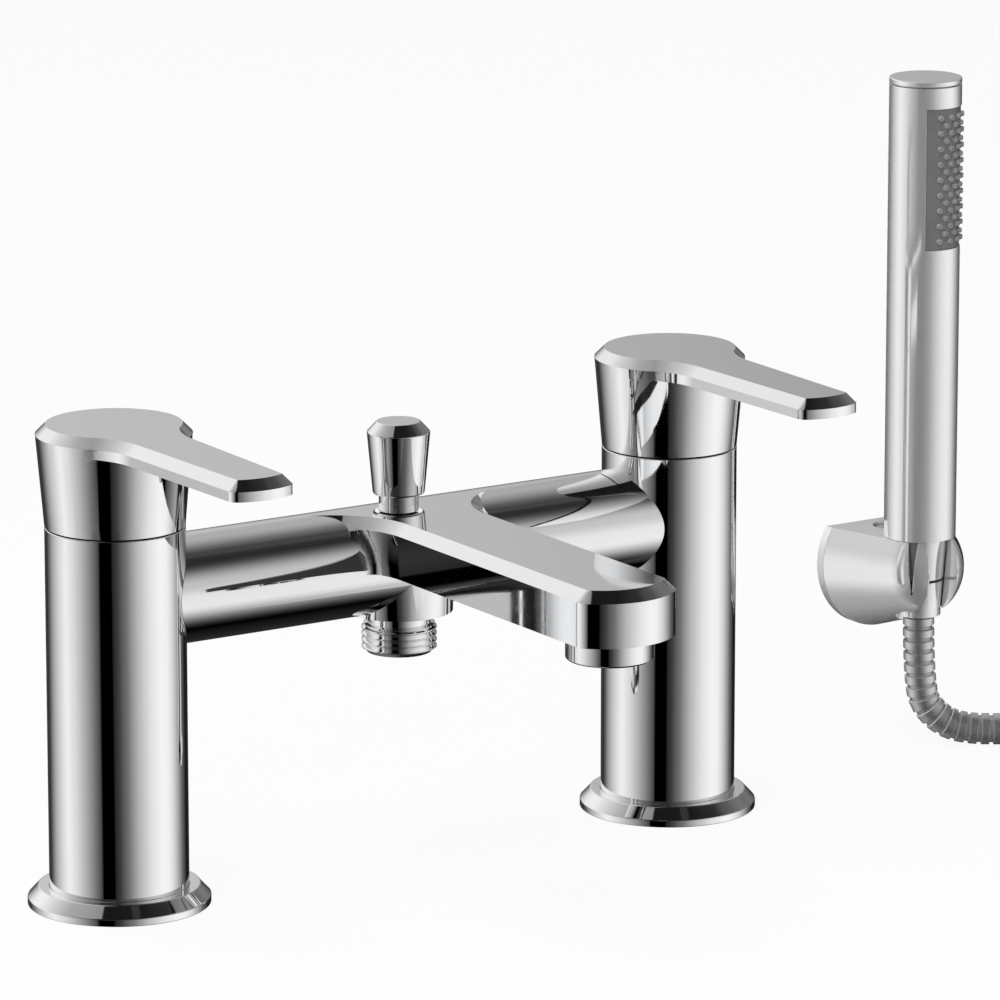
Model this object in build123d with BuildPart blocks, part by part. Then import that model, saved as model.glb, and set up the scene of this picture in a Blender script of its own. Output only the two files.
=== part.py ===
from build123d import *
import math
import os

os.makedirs("parts", exist_ok=True)

# Bath shower mixer on two deck pillars, with its hand shower in a wall bracket and its hose.
# Millimetres. The deck is z = 0, the origin lies midway between the pillars, -Y is the front
# (spout and levers), +Y the wall and +Z up.

# Shared clearances and the overrun of every cut
fit = 0.05
seat_gap = 0.05
overrun = 1.0

# Pillars
pillar_spacing = 180.0
pillar_dia = 38.1
pillar_top = 105.1
inlet_bore_dia = 20.0
seat_bore_dia = 13.0
seat_height = 62.0
seat_floor = 6.0
chamber_dia = 30.0
chamber_top = 92.0
neck_dia = 22.0

# Deck flanges, seals and the fixing below the deck
flange_dia = 50.0
flange_height = 5.2
flange_rim = 2.0
flange_bevel = 3.0
seal_thickness = 2.0
seal_margin = 0.45
deck_thickness = 20.0
tail_dia = 26.44
tail_length = 62.0
tail_chamfer = 1.2
tail_bore_dia = 16.0
tail_spigot = 18.0
washer_dia = 42.0
washer_thickness = 2.0
backnut_flats = 36.0
backnut_height = 8.0

# Valve cartridges
cartridge_body_dia = 19.0
cartridge_bore_dia = 16.2
cartridge_bore_top = 88.0
cartridge_hex_flats = 24.0
cartridge_hex_height = 4.0
window_width = 8.0
window_bottom = 74.0
window_top = 86.0
disc_thickness = 3.0
port_dia = 3.6
port_offset = 4.4
carrier_dia = 15.6
carrier_thickness = 3.0
spindle_dia = 9.0
spindle_end_dia = 8.0
spindle_end_length = 15.0

# Levers
head_gap = 0.4
head_top = 133.3
head_top_dia = 42.4
lever_chamfer = 2.7
lever_plate = 5.4
lever_reach = 80.0
lever_root_dia = 41.8
lever_root_station = 29.0
lever_root_width = 21.4
lever_tip_station = 77.0
lever_tip_width = 19.0
lever_tip_radius = 19.0
lever_tip_corner = 3.0
lever_neck_radius = 22.3
head_wall = 3.4
head_roof = 5.3
boss_dia = 16.0
boss_clearance = 1.5
socket_roof = 4.0
grub_dia = 4.0
grub_length = 13.0
grub_height = 118.0
grub_hex_flats = 2.0
grub_hex_depth = 2.0
rib_width = 7.0

# Bridge bar and its waterway
bar_dia = 30.18
bar_height = 85.07
bar_bore_dia = 12.0
bar_spigot_dia = 18.0
bar_spigot_clearance = 0.5

# Spout plate
spout_width = 30.6
spout_drop = 0.04
spout_root_fillet = 4.0
spout_reach = 120.7
spout_thickness = 15.1
spout_chamfer = 3.0
spout_tip_radius = 20.0
spout_tip_corner = 5.0
spout_flare_radius = 22.0
spout_flare_start = 3.0
channel_height = 4.0
channel_width = 18.0
channel_roof = 3.6

# Shower outlet hub and diverter seats
hub_dia = 29.9
hub_bottom = 69.7
valve_bore_dia = 18.0
upper_seat_thickness = 1.5
upper_seat_dia = 14.8

# Shower nipple and check valve
nipple_spigot = 5.1
nipple_bore_dia = 13.0
nipple_neck_dia = 17.5
nipple_neck = 3.7
nipple_thread_dia = 20.955
nipple_thread = 8.0
nipple_chamfer = 1.5
check_pocket_dia = 15.0
check_depth = 7.0
check_ring_dia = 12.0
check_recess = 0.8
check_hub_dia = 4.0
check_arm_width = 1.4

# Aerator
aerator_centre = 104.7
aerator_dia = 23.6
aerator_drop = 6.6
aerator_spigot_dia = 20.0
aerator_spigot = 5.0
aerator_bore_dia = 18.0
aerator_lip = 1.2
aerator_lip_dia = 16.8
aerator_washer_thickness = 2.0
aerator_washer_bore = 12.0
aerator_hole_dia = 1.8
aerator_hole_spacing = 3.0
aerator_feed_dia = 14.0

# Diverter
knob_bottom = 102.6
knob_shoulder = 120.0
knob_top = 123.0
knob_bottom_dia = 14.4
knob_shoulder_dia = 17.52
knob_top_dia = 12.0
knob_edge = 0.4
bush_dia = 11.0
bush_recess_dia = 8.4
bush_recess = 2.0
knob_gap = 0.3
stem_dia = 5.0
stem_grip = 13.4
piston_dia = 13.0
piston_thickness = 2.0
valve_washer_dia = 17.2
valve_washer_thickness = 1.9
stem_foot = 1.2

# Hand shower
handset_x = 188.1
handset_y = 14.0
handset_dia = 21.0
handset_bottom = 63.3
handset_top = 198.8
handset_bore_dia = 18.0
cap_thickness = 1.6
cap_groove = 0.3
cap_spigot = 3.0
strip_facing = -70.9
strip_arc = 104.0
strip_bottom = 149.7
strip_top = 190.8
strip_recess = 0.3
strip_clearance = 0.05
nozzle_dia = 1.8
nozzle_tip_dia = 1.3
nozzle_height = 1.0
nozzle_turn = 10.0
nozzle_columns = 7
nozzle_rows = 9
nozzle_pitch = 4.51
nozzle_sink = 0.3
manifold_margin = 2.9
manifold_bore_dia = 7.0
manifold_wall = 1.8
manifold_pocket_share = 0.85
manifold_start_share = 0.25
shank_dia = 11.9
shank_length = 15.2
shank_spigot = 12.7
shank_bore_dia = 6.4

# Wall bracket
wall_y = 38.0
bracket_offset = 1.0
wall_disc_dia = 41.0
wall_disc_height = 52.2
wall_plate_thickness = 3.0
fork_width = 26.2
fork_depth = 29.6
fork_height = 54.0
fork_blend = 2.3
bracket_top = 63.2
slot_width = 10.0
notch_width = 2.6
notch_depth = 15.0
notch_turn = 46.0
clamp_y = 28.9
clamp_hole_dia = 11.4
clamp_recess = 3.5
clamp_head_dia = 10.2
clamp_head_height = 2.5
clamp_shank_dia = 5.0
clamp_shank_length = 20.0
cross_length = 6.0
cross_width = 1.6
cross_depth = 1.4
tongue_width = 12.0
tongue_height = 13.0
tongue_length = 12.0
tongue_roof = 2.5
wall_screw_spacing = 20.0
wall_screw_dia = 4.0
wall_screw_head_dia = 7.0
wall_screw_head = 1.8

# Hose nut and hose ends
socket_gap = 0.3
nut_top = 62.9
nut_top_dia = 16.6
nut_foot_dia = 12.8
nut_foot_top = 42.0
nut_bottom = 39.6
nut_groove = 50.5
nut_groove_width = 0.7
nut_groove_depth = 0.4
nut_floor = 5.4
nut_hose_gap = 0.15
nut_washer_thickness = 1.5
tailpiece_dia = 5.8
tailpiece_length = 15.0
tailpiece_bore_dia = 3.6
end_nut_dia = 24.0
end_nut_length = 15.0
end_nut_bore_dia = 21.1
end_nut_floor = 3.0
end_nut_edge = 0.8
end_flange_dia = 18.0
end_flange_thickness = 2.0

# Hose: its route down from the nut lies in one upright plane along the heading
hose_dia = 9.2
hose_bore_dia = 6.0
hose_root_dia = 7.9
hose_rib_pitch = 3.5
hose_rib_share = 0.62
hose_flank_share = 0.08
hose_bend_share = 0.45
hose_floor = 4.65
hose_heading = -32.9
hose_route = [(0.0, 44.9), (0.0, 16.94), (4.5, 9.15), (12.29, 4.65), (30.0, 4.65)]

# Put-away coil of the rest of the hose
approach_radius = 150.0
approach_turn = 45.0
coil_outer_radius = 59.4
coil_pitch = 9.7
coil_quarters = 7
climb_quarters = 2
coil_tail_level = 24.0
coil_tail = 34.0
coil_tail_straight = 10.0
coil_tail_height = 12.05


def turn(points, x=0.0, y=0.0, mode=Mode.ADD):
    """Revolves a closed profile of (radius, height) points about the upright axis at x, y."""
    with BuildSketch(Plane((x, y, 0), x_dir=(1, 0, 0), z_dir=(0, -1, 0)), mode=Mode.PRIVATE) as half:
        with BuildLine():
            Polyline(*points, close=True)
        make_face()
    revolve(half.sketch, axis=Axis((x, y, 0), (0, 0, 1)), mode=mode)


def ring(outer, inner, bottom, top):
    """Profile points of a plain ring from its radii and heights."""
    return [(inner, bottom), (outer, bottom), (outer, top), (inner, top)]


def finish(piece, name):
    """Labels a finished piece and writes its STEP file."""
    piece.part.label = name
    export_step(piece.part, f"parts/{name}.step")


pillar_radius = pillar_dia / 2
tail_radius = tail_dia / 2
neck_radius = neck_dia / 2
sides = [("left", -pillar_spacing / 2), ("right", pillar_spacing / 2)]

# Heights inside the pillars
inlet_bore_top = seat_height - seat_floor
moving_bottom = seat_height + disc_thickness + seat_gap
moving_top = moving_bottom + disc_thickness
carrier_top = moving_top + carrier_thickness
hex_top = pillar_top + cartridge_hex_height
head_bottom = pillar_top + head_gap
boss_bottom = hex_top + boss_clearance
socket_top = head_top - socket_roof
spindle_top = socket_top - seat_gap

for side, x in sides:
    # Hollow turned leg: inlet bore, valve seat, water chamber and threaded neck
    with BuildPart() as pillar:
        turn(
            [
                (inlet_bore_dia / 2, seal_thickness),
                (pillar_radius, seal_thickness),
                (pillar_radius, pillar_top),
                (neck_radius, pillar_top),
                (neck_radius, chamber_top),
                (chamber_dia / 2, chamber_top),
                (chamber_dia / 2, seat_height),
                (seat_bore_dia / 2, seat_height),
                (seat_bore_dia / 2, inlet_bore_top),
                (inlet_bore_dia / 2, inlet_bore_top),
            ],
            x,
        )
        with BuildSketch(Plane.YZ.offset(x)):
            with Locations((0, bar_height)):
                Circle(bar_spigot_dia / 2 + fit)
        extrude(amount=-math.copysign(pillar_dia, x), mode=Mode.SUBTRACT)
    finish(pillar, f"{side}_pillar")

    # Bevelled cover ring on the deck
    with BuildPart() as flange:
        turn(
            [
                (pillar_radius + fit, 0),
                (flange_dia / 2, 0),
                (flange_dia / 2, flange_rim),
                (flange_dia / 2 - flange_bevel, flange_height),
                (pillar_radius + fit, flange_height),
            ],
            x,
        )
    finish(flange, f"{side}_flange")

    # Rubber ring between leg and deck
    with BuildPart() as base_seal:
        turn(ring(pillar_radius - seal_margin, tail_radius + seal_margin, 0, seal_thickness), x)
    finish(base_seal, f"{side}_base_seal")

    # Threaded inlet shank with its spigot in the leg
    with BuildPart() as tail:
        turn(
            [
                (tail_bore_dia / 2, -tail_length),
                (tail_radius - tail_chamfer, -tail_length),
                (tail_radius, -tail_length + tail_chamfer),
                (tail_radius, seal_thickness),
                (inlet_bore_dia / 2 - fit, seal_thickness),
                (inlet_bore_dia / 2 - fit, seal_thickness + tail_spigot),
                (tail_bore_dia / 2, seal_thickness + tail_spigot),
            ],
            x,
        )
    finish(tail, f"{side}_tail")

    # Washer and hexagon backnut below the deck
    washer_bottom = -deck_thickness - washer_thickness
    with BuildPart() as washer:
        turn(ring(washer_dia / 2, tail_radius + fit, washer_bottom, -deck_thickness), x)
    finish(washer, f"{side}_washer")

    with BuildPart() as backnut:
        with BuildSketch(Plane.XY.offset(washer_bottom)):
            with Locations((x, 0)):
                RegularPolygon(backnut_flats / 2, side_count=6, major_radius=False)
                Circle(tail_radius + fit, mode=Mode.SUBTRACT)
        extrude(amount=-backnut_height)
    finish(backnut, f"{side}_backnut")

    # Valve housing: hexagon head, threaded neck and windowed body
    with BuildPart() as cartridge:
        with BuildSketch(Plane.XY.offset(pillar_top)):
            with Locations((x, 0)):
                RegularPolygon(cartridge_hex_flats / 2, side_count=6, major_radius=False)
        extrude(amount=cartridge_hex_height)
        turn(ring(neck_radius - fit, 0, chamber_top, pillar_top), x)
        turn(ring(cartridge_body_dia / 2, 0, seat_height, chamber_top), x)
        turn(ring(cartridge_bore_dia / 2, 0, seat_height, cartridge_bore_top), x, mode=Mode.SUBTRACT)
        turn(ring(spindle_dia / 2 + fit, 0, cartridge_bore_top, hex_top), x, mode=Mode.SUBTRACT)
        with BuildSketch(Plane.XY.offset(window_bottom)):
            with Locations((x, 0)):
                Rectangle(window_width, cartridge_body_dia + overrun)
                Rectangle(cartridge_body_dia + overrun, window_width)
        extrude(amount=window_top - window_bottom, mode=Mode.SUBTRACT)
    finish(cartridge, f"{side}_cartridge")

    # Ceramic discs with two ports each, the moving one a quarter turn round
    with BuildPart() as fixed_disc:
        with BuildSketch(Plane.XY.offset(seat_height)):
            with Locations((x, 0)):
                Circle(cartridge_bore_dia / 2 - fit)
            with Locations((x - port_offset, 0), (x + port_offset, 0)):
                Circle(port_dia / 2, mode=Mode.SUBTRACT)
        extrude(amount=disc_thickness)
    finish(fixed_disc, f"{side}_fixed_disc")

    with BuildPart() as moving_disc:
        with BuildSketch(Plane.XY.offset(moving_bottom)):
            with Locations((x, 0)):
                Circle(cartridge_bore_dia / 2 - fit)
            with Locations((x, -port_offset), (x, port_offset)):
                Circle(port_dia / 2, mode=Mode.SUBTRACT)
        extrude(amount=disc_thickness)
    finish(moving_disc, f"{side}_moving_disc")

    # Spindle with the carrier that turns the upper disc
    with BuildPart() as spindle:
        turn(
            [
                (0, moving_top),
                (carrier_dia / 2, moving_top),
                (carrier_dia / 2, carrier_top),
                (spindle_dia / 2, carrier_top),
                (spindle_dia / 2, spindle_top - spindle_end_length),
                (spindle_end_dia / 2, spindle_top - spindle_end_length),
                (spindle_end_dia / 2, spindle_top),
                (0, spindle_top),
            ],
            x,
        )
        with BuildSketch(Plane.XY.offset(moving_top)):
            with Locations((x, -port_offset), (x, port_offset)):
                Circle(port_dia / 2)
        extrude(amount=carrier_thickness, mode=Mode.SUBTRACT)
    finish(spindle, f"{side}_spindle")

    # Lever: flared head with a bevelled blade, hollow below, with a boss for the spindle
    tip_edge = lever_tip_width / 2
    tip_y = lever_tip_radius - math.sqrt(lever_tip_radius**2 - tip_edge**2) - lever_reach
    blade_slope = (lever_root_width / 2 - tip_edge) / (lever_tip_station - lever_root_station)
    blade_back = lever_root_width / 2 + blade_slope * lever_root_station
    with BuildPart() as lever:
        with BuildSketch(Plane.XY.offset(head_top - lever_plate)):
            with BuildLine():
                Line((x - blade_back, 0), (x - tip_edge, tip_y))
                ThreePointArc((x - tip_edge, tip_y), (x, -lever_reach), (x + tip_edge, tip_y))
                Line((x + tip_edge, tip_y), (x + blade_back, 0))
                Line((x + blade_back, 0), (x - blade_back, 0))
            make_face()
            fillet(vertices().group_by(Axis.Y)[0], lever_tip_corner)
            with Locations((x, 0)):
                Circle(lever_root_dia / 2)
            necks = vertices().filter_by(lambda corner: -lever_root_station < corner.Y < -boss_dia / 2)
            fillet(necks, lever_neck_radius)
        extrude(amount=lever_plate)
        chamfer(faces().sort_by(Axis.Z)[-1].outer_wire().edges(), lever_chamfer)
        turn(
            [
                (0, head_bottom),
                (pillar_radius, head_bottom),
                (head_top_dia / 2, head_top - lever_chamfer),
                (head_top_dia / 2 - lever_chamfer, head_top),
                (0, head_top),
            ],
            x,
        )
        cavity_radius = pillar_radius - head_wall
        turn(ring(cavity_radius, 0, head_bottom - overrun, boss_bottom), x, mode=Mode.SUBTRACT)
        with BuildSketch(Plane.XY.offset(boss_bottom)):
            with Locations((x, 0)):
                Circle(cavity_radius)
                Circle(boss_dia / 2, mode=Mode.SUBTRACT)
            with Locations((x, cavity_radius / 2)):
                Rectangle(rib_width, cavity_radius, mode=Mode.SUBTRACT)
        extrude(amount=head_top - head_roof - boss_bottom, mode=Mode.SUBTRACT)
        spindle_step = spindle_top - spindle_end_length
        turn(ring(spindle_dia / 2 + fit, 0, head_bottom, spindle_step), x, mode=Mode.SUBTRACT)
        turn(ring(spindle_end_dia / 2 + fit, 0, head_bottom, socket_top), x, mode=Mode.SUBTRACT)
        with BuildSketch(Plane.XZ):
            with Locations((x, grub_height)):
                Circle(grub_dia / 2 + fit)
        extrude(amount=-head_top_dia, mode=Mode.SUBTRACT)
    finish(lever, f"{side}_lever")

    # Grub screw that holds the lever from behind
    with BuildPart() as grub:
        with BuildSketch(Plane.XZ.offset(-spindle_end_dia / 2 - fit)):
            with Locations((x, grub_height)):
                Circle(grub_dia / 2)
        extrude(amount=-grub_length)
        with BuildSketch(Plane.XZ.offset(-spindle_end_dia / 2 - fit - grub_length)):
            with Locations((x, grub_height)):
                RegularPolygon(grub_hex_flats / 2, side_count=6, major_radius=False)
        extrude(amount=grub_hex_depth, mode=Mode.SUBTRACT)
    finish(grub, f"{side}_lever_screw")

# Heights inside the bridge
half_centres = pillar_spacing / 2
spout_top = bar_height + bar_dia / 2 - spout_drop
spout_bottom = spout_top - spout_thickness
channel_top = spout_top - channel_roof
channel_bottom = channel_top - channel_height
valve_top = channel_bottom - upper_seat_thickness
nipple_top = hub_bottom + nipple_spigot
aerator_shoulder = spout_bottom + aerator_spigot
bridge_end = half_centres - chamber_dia / 2 - bar_spigot_clearance

# Bridge: round bar, flat spout with a flared root, outlet hub and the waterways through them
spout_edge = spout_width / 2
flare_reach = spout_edge + spout_flare_radius
flare_end = -spout_flare_start - spout_flare_radius
spout_tip = spout_tip_radius - math.sqrt(spout_tip_radius**2 - spout_edge**2) - spout_reach
with BuildPart() as cross_body:
    with BuildSketch(Plane.XY.offset(spout_bottom)):
        with BuildLine():
            Line((-flare_reach, spout_edge), (-flare_reach, -spout_flare_start))
            RadiusArc((-flare_reach, -spout_flare_start), (-spout_edge, flare_end), spout_flare_radius)
            Line((-spout_edge, flare_end), (-spout_edge, spout_tip))
            ThreePointArc((-spout_edge, spout_tip), (0, -spout_reach), (spout_edge, spout_tip))
            Line((spout_edge, spout_tip), (spout_edge, flare_end))
            RadiusArc((spout_edge, flare_end), (flare_reach, -spout_flare_start), spout_flare_radius)
            Line((flare_reach, -spout_flare_start), (flare_reach, spout_edge))
            Line((flare_reach, spout_edge), (-flare_reach, spout_edge))
        make_face()
        fillet(vertices().group_by(Axis.Y)[0], spout_tip_corner)
    extrude(amount=spout_thickness)
    rim = faces().sort_by(Axis.Z)[-1].outer_wire().edges()
    chamfer(rim.filter_by(lambda edge: edge.center().Y < -spout_flare_start), spout_chamfer)
    split(bisect_by=Plane.XZ, keep=Keep.TOP)
    with BuildSketch(Plane.YZ.offset(-half_centres)):
        with Locations((0, bar_height)):
            Circle(bar_dia / 2)
    extrude(amount=pillar_spacing)
    roots = edges().filter_by(GeomType.BSPLINE).filter_by(lambda edge: edge.center().Y < -bar_dia / 4)
    fillet(roots, spout_root_fillet)
    with BuildSketch(Plane.XY.offset(hub_bottom)):
        Circle(hub_dia / 2)
    extrude(amount=bar_height - hub_bottom)
    for side, x in sides:
        turn(ring(pillar_radius + fit, 0, 0, head_top), x, mode=Mode.SUBTRACT)
    with BuildSketch(Plane.YZ.offset(-bridge_end)):
        with Locations((0, bar_height)):
            Circle(bar_spigot_dia / 2)
    extrude(amount=2 * bridge_end)
    with BuildSketch(Plane.YZ.offset(-half_centres)):
        with Locations((0, bar_height)):
            Circle(bar_bore_dia / 2)
    extrude(amount=pillar_spacing, mode=Mode.SUBTRACT)
    turn(ring(valve_bore_dia / 2, 0, hub_bottom - overrun, valve_top), mode=Mode.SUBTRACT)
    turn(ring(upper_seat_dia / 2, 0, hub_bottom, channel_top), mode=Mode.SUBTRACT)
    turn(ring(bush_dia / 2 + fit, 0, channel_top - overrun, spout_top + overrun), mode=Mode.SUBTRACT)
    with BuildSketch(Plane.XY.offset(channel_bottom)):
        with Locations((0, -aerator_centre / 2)):
            SlotCenterToCenter(aerator_centre, channel_width, rotation=90)
    extrude(amount=channel_height, mode=Mode.SUBTRACT)
    aerator_seat = ring(aerator_spigot_dia / 2 + fit, 0, spout_bottom - overrun, aerator_shoulder)
    turn(aerator_seat, 0, -aerator_centre, Mode.SUBTRACT)
    turn(ring(aerator_feed_dia / 2, 0, spout_bottom, channel_top), 0, -aerator_centre, Mode.SUBTRACT)
finish(cross_body, "cross_body")

# Aerator: threaded housing, honeycomb insert and its washer
aerator_bottom = spout_bottom - aerator_drop
insert_bottom = aerator_bottom + aerator_lip
insert_top = aerator_shoulder - aerator_washer_thickness
with BuildPart() as aerator_housing:
    turn(
        [
            (aerator_lip_dia / 2, aerator_bottom),
            (aerator_dia / 2, aerator_bottom),
            (aerator_dia / 2, spout_bottom),
            (aerator_spigot_dia / 2, spout_bottom),
            (aerator_spigot_dia / 2, aerator_shoulder),
            (aerator_bore_dia / 2, aerator_shoulder),
            (aerator_bore_dia / 2, insert_bottom),
            (aerator_lip_dia / 2, insert_bottom),
        ],
        0,
        -aerator_centre,
    )
finish(aerator_housing, "aerator_housing")

with BuildPart() as aerator_insert:
    turn(ring(aerator_bore_dia / 2 - fit, 0, insert_bottom, insert_top), 0, -aerator_centre)
    with BuildSketch(Plane.XY.offset(insert_bottom)):
        with Locations((0, -aerator_centre)):
            with HexLocations(aerator_hole_spacing / 2, 5, 5):
                Circle(aerator_hole_dia / 2)
    extrude(amount=insert_top - insert_bottom, mode=Mode.SUBTRACT)
finish(aerator_insert, "aerator_insert")

with BuildPart() as aerator_washer:
    washer_profile = ring(aerator_bore_dia / 2 - fit, aerator_washer_bore / 2, insert_top, aerator_shoulder)
    turn(washer_profile, 0, -aerator_centre)
finish(aerator_washer, "aerator_washer")

# Shower nipple: lower valve seat, neck, thread and the check valve inside it
neck_bottom = hub_bottom - nipple_neck
nipple_bottom = neck_bottom - nipple_thread
with BuildPart() as shower_nipple:
    turn(
        [
            (nipple_bore_dia / 2, nipple_top),
            (valve_bore_dia / 2 - fit, nipple_top),
            (valve_bore_dia / 2 - fit, hub_bottom),
            (nipple_neck_dia / 2, hub_bottom),
            (nipple_neck_dia / 2, neck_bottom),
            (nipple_thread_dia / 2, neck_bottom),
            (nipple_thread_dia / 2, nipple_bottom + nipple_chamfer),
            (nipple_thread_dia / 2 - nipple_chamfer, nipple_bottom),
            (check_pocket_dia / 2, nipple_bottom),
            (check_pocket_dia / 2, nipple_bottom + check_recess + check_depth),
            (nipple_bore_dia / 2, nipple_bottom + check_recess + check_depth),
        ],
    )
finish(shower_nipple, "shower_nipple")

with BuildPart() as check_valve:
    with BuildSketch(Plane.XY.offset(nipple_bottom + check_recess)):
        Circle(check_pocket_dia / 2 - fit)
        Circle(check_ring_dia / 2, mode=Mode.SUBTRACT)
        Rectangle(check_ring_dia + overrun, check_arm_width)
        Rectangle(check_arm_width, check_ring_dia + overrun)
        Circle(check_hub_dia / 2)
    extrude(amount=check_depth)
finish(check_valve, "check_valve")

# Diverter: gland bush, seal, knob and the stem with its two valve washers
bush_top = knob_bottom - knob_gap
with BuildPart() as diverter_bush:
    turn(
        [
            (stem_dia / 2 + fit, bush_top),
            (bush_dia / 2, bush_top),
            (bush_dia / 2, channel_top),
            (bush_recess_dia / 2, channel_top),
            (bush_recess_dia / 2, channel_top + bush_recess),
            (stem_dia / 2 + fit, channel_top + bush_recess),
        ],
    )
finish(diverter_bush, "diverter_bush")

with BuildPart() as diverter_seal:
    turn(ring(bush_recess_dia / 2 - fit, stem_dia / 2 + fit, channel_top, channel_top + bush_recess - fit))
finish(diverter_seal, "diverter_seal")

with BuildPart() as diverter_knob:
    turn(
        [
            (0, knob_bottom),
            (knob_bottom_dia / 2 - knob_edge, knob_bottom),
            (knob_bottom_dia / 2, knob_bottom + knob_edge),
            (knob_shoulder_dia / 2, knob_shoulder),
            (knob_top_dia / 2, knob_top),
            (0, knob_top),
        ],
    )
    stem_socket = ring(stem_dia / 2 + fit, 0, knob_bottom - overrun, knob_bottom + stem_grip + fit)
    turn(stem_socket, mode=Mode.SUBTRACT)
finish(diverter_knob, "diverter_knob")

lower_washer_bottom = nipple_top + seat_gap
piston_bottom = lower_washer_bottom + valve_washer_thickness
piston_top = piston_bottom + piston_thickness
upper_washer_top = piston_top + valve_washer_thickness
with BuildPart() as diverter_stem:
    turn(
        [
            (0, lower_washer_bottom - stem_foot),
            (stem_dia / 2, lower_washer_bottom - stem_foot),
            (stem_dia / 2, piston_bottom),
            (piston_dia / 2, piston_bottom),
            (piston_dia / 2, piston_top),
            (stem_dia / 2, piston_top),
            (stem_dia / 2, knob_bottom + stem_grip),
            (0, knob_bottom + stem_grip),
        ],
    )
finish(diverter_stem, "diverter_stem")

with BuildPart() as diverter_lower_washer:
    turn(ring(valve_washer_dia / 2, stem_dia / 2 + fit, lower_washer_bottom, piston_bottom))
finish(diverter_lower_washer, "diverter_lower_washer")

with BuildPart() as diverter_upper_washer:
    turn(ring(valve_washer_dia / 2, stem_dia / 2 + fit, piston_top, upper_washer_top))
finish(diverter_upper_washer, "diverter_upper_washer")

# Hand shower, standing on its upright axis
tube_top = handset_top - cap_thickness - cap_groove
bore_radius = handset_bore_dia / 2
handset_radius = handset_dia / 2


def wedge(height, outer, inner, half_angle):
    """Ring segment about the hand shower's axis, at a height and centred on the spray's direction."""
    arms = [strip_facing - half_angle, strip_facing, strip_facing + half_angle]
    reach = 2 * outer  # past the circle, which trims it
    corners = [Vector(reach, 0).rotate(Axis.Z, arm) for arm in arms]
    with BuildSketch(Plane((handset_x, handset_y, height)), mode=Mode.PRIVATE) as segment:
        with BuildLine():
            Polyline((0, 0), *corners, close=True)
        make_face()
        Circle(outer, mode=Mode.INTERSECT)
        Circle(inner, mode=Mode.SUBTRACT)
    return segment.sketch


window_play = math.degrees(strip_clearance / handset_radius)
with BuildPart() as handset_body:
    turn(ring(handset_radius, bore_radius, handset_bottom, tube_top), handset_x, handset_y)
    sill = strip_bottom - strip_clearance
    window = wedge(sill, handset_radius + overrun, bore_radius - overrun, strip_arc / 2 + window_play)
    extrude(window, amount=strip_top + strip_clearance - sill, mode=Mode.SUBTRACT)
finish(handset_body, "handset_body")

with BuildPart() as handset_cap:
    turn(
        [
            (0, tube_top - cap_spigot),
            (bore_radius - fit, tube_top - cap_spigot),
            (bore_radius - fit, tube_top + cap_groove),
            (handset_radius, tube_top + cap_groove),
            (handset_radius, handset_top),
            (0, handset_top),
        ],
        handset_x,
        handset_y,
    )
finish(handset_cap, "handset_cap")

# Spray strip with its staggered nozzles
strip_radius = handset_radius - strip_recess
with BuildPart() as spray_strip:
    extrude(wedge(strip_bottom, strip_radius, bore_radius, strip_arc / 2), amount=strip_top - strip_bottom)
    nozzles = []
    for column in range(nozzle_columns):
        bearing = strip_facing + (column - (nozzle_columns - 1) / 2) * nozzle_turn
        rows = nozzle_rows - column % 2
        for row in range(rows):
            height = (strip_bottom + strip_top) / 2 + (row - (rows - 1) / 2) * nozzle_pitch
            outward = Vector(1, 0).rotate(Axis.Z, bearing)
            foot = Vector(handset_x, handset_y, height) + outward * (strip_radius - nozzle_sink)
            nozzles.append(Plane(foot, x_dir=(0, 0, 1), z_dir=outward))
    with Locations(*nozzles):
        whole_height = nozzle_height + nozzle_sink
        upwards = (Align.CENTER, Align.CENTER, Align.MIN)
        Cone(nozzle_dia / 2, nozzle_tip_dia / 2, whole_height, align=upwards)
finish(spray_strip, "spray_strip")

# Manifold that feeds the strip from the bore of the tube
manifold_bottom = strip_bottom - manifold_margin
manifold_top = strip_top + manifold_margin
with BuildPart() as spray_manifold:
    turn(ring(bore_radius - fit, 0, manifold_bottom, manifold_top), handset_x, handset_y)
    feed = ring(manifold_bore_dia / 2, 0, manifold_bottom - overrun, strip_top - manifold_wall)
    turn(feed, handset_x, handset_y, Mode.SUBTRACT)
    pocket_bottom = strip_bottom + manifold_wall
    pocket_start = manifold_start_share * manifold_bore_dia
    pocket = wedge(pocket_bottom, bore_radius, pocket_start, manifold_pocket_share * strip_arc / 2)
    extrude(pocket, amount=strip_top - manifold_wall - pocket_bottom, mode=Mode.SUBTRACT)
finish(spray_manifold, "spray_manifold")

# Threaded shank in the foot of the tube
shank_bottom = handset_bottom - shank_length
with BuildPart() as handset_shank:
    turn(
        [
            (shank_bore_dia / 2, shank_bottom),
            (shank_dia / 2, shank_bottom),
            (shank_dia / 2, handset_bottom),
            (bore_radius - fit, handset_bottom),
            (bore_radius - fit, handset_bottom + shank_spigot),
            (shank_bore_dia / 2, handset_bottom + shank_spigot),
        ],
        handset_x,
        handset_y,
    )
finish(handset_shank, "handset_shank")

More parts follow.
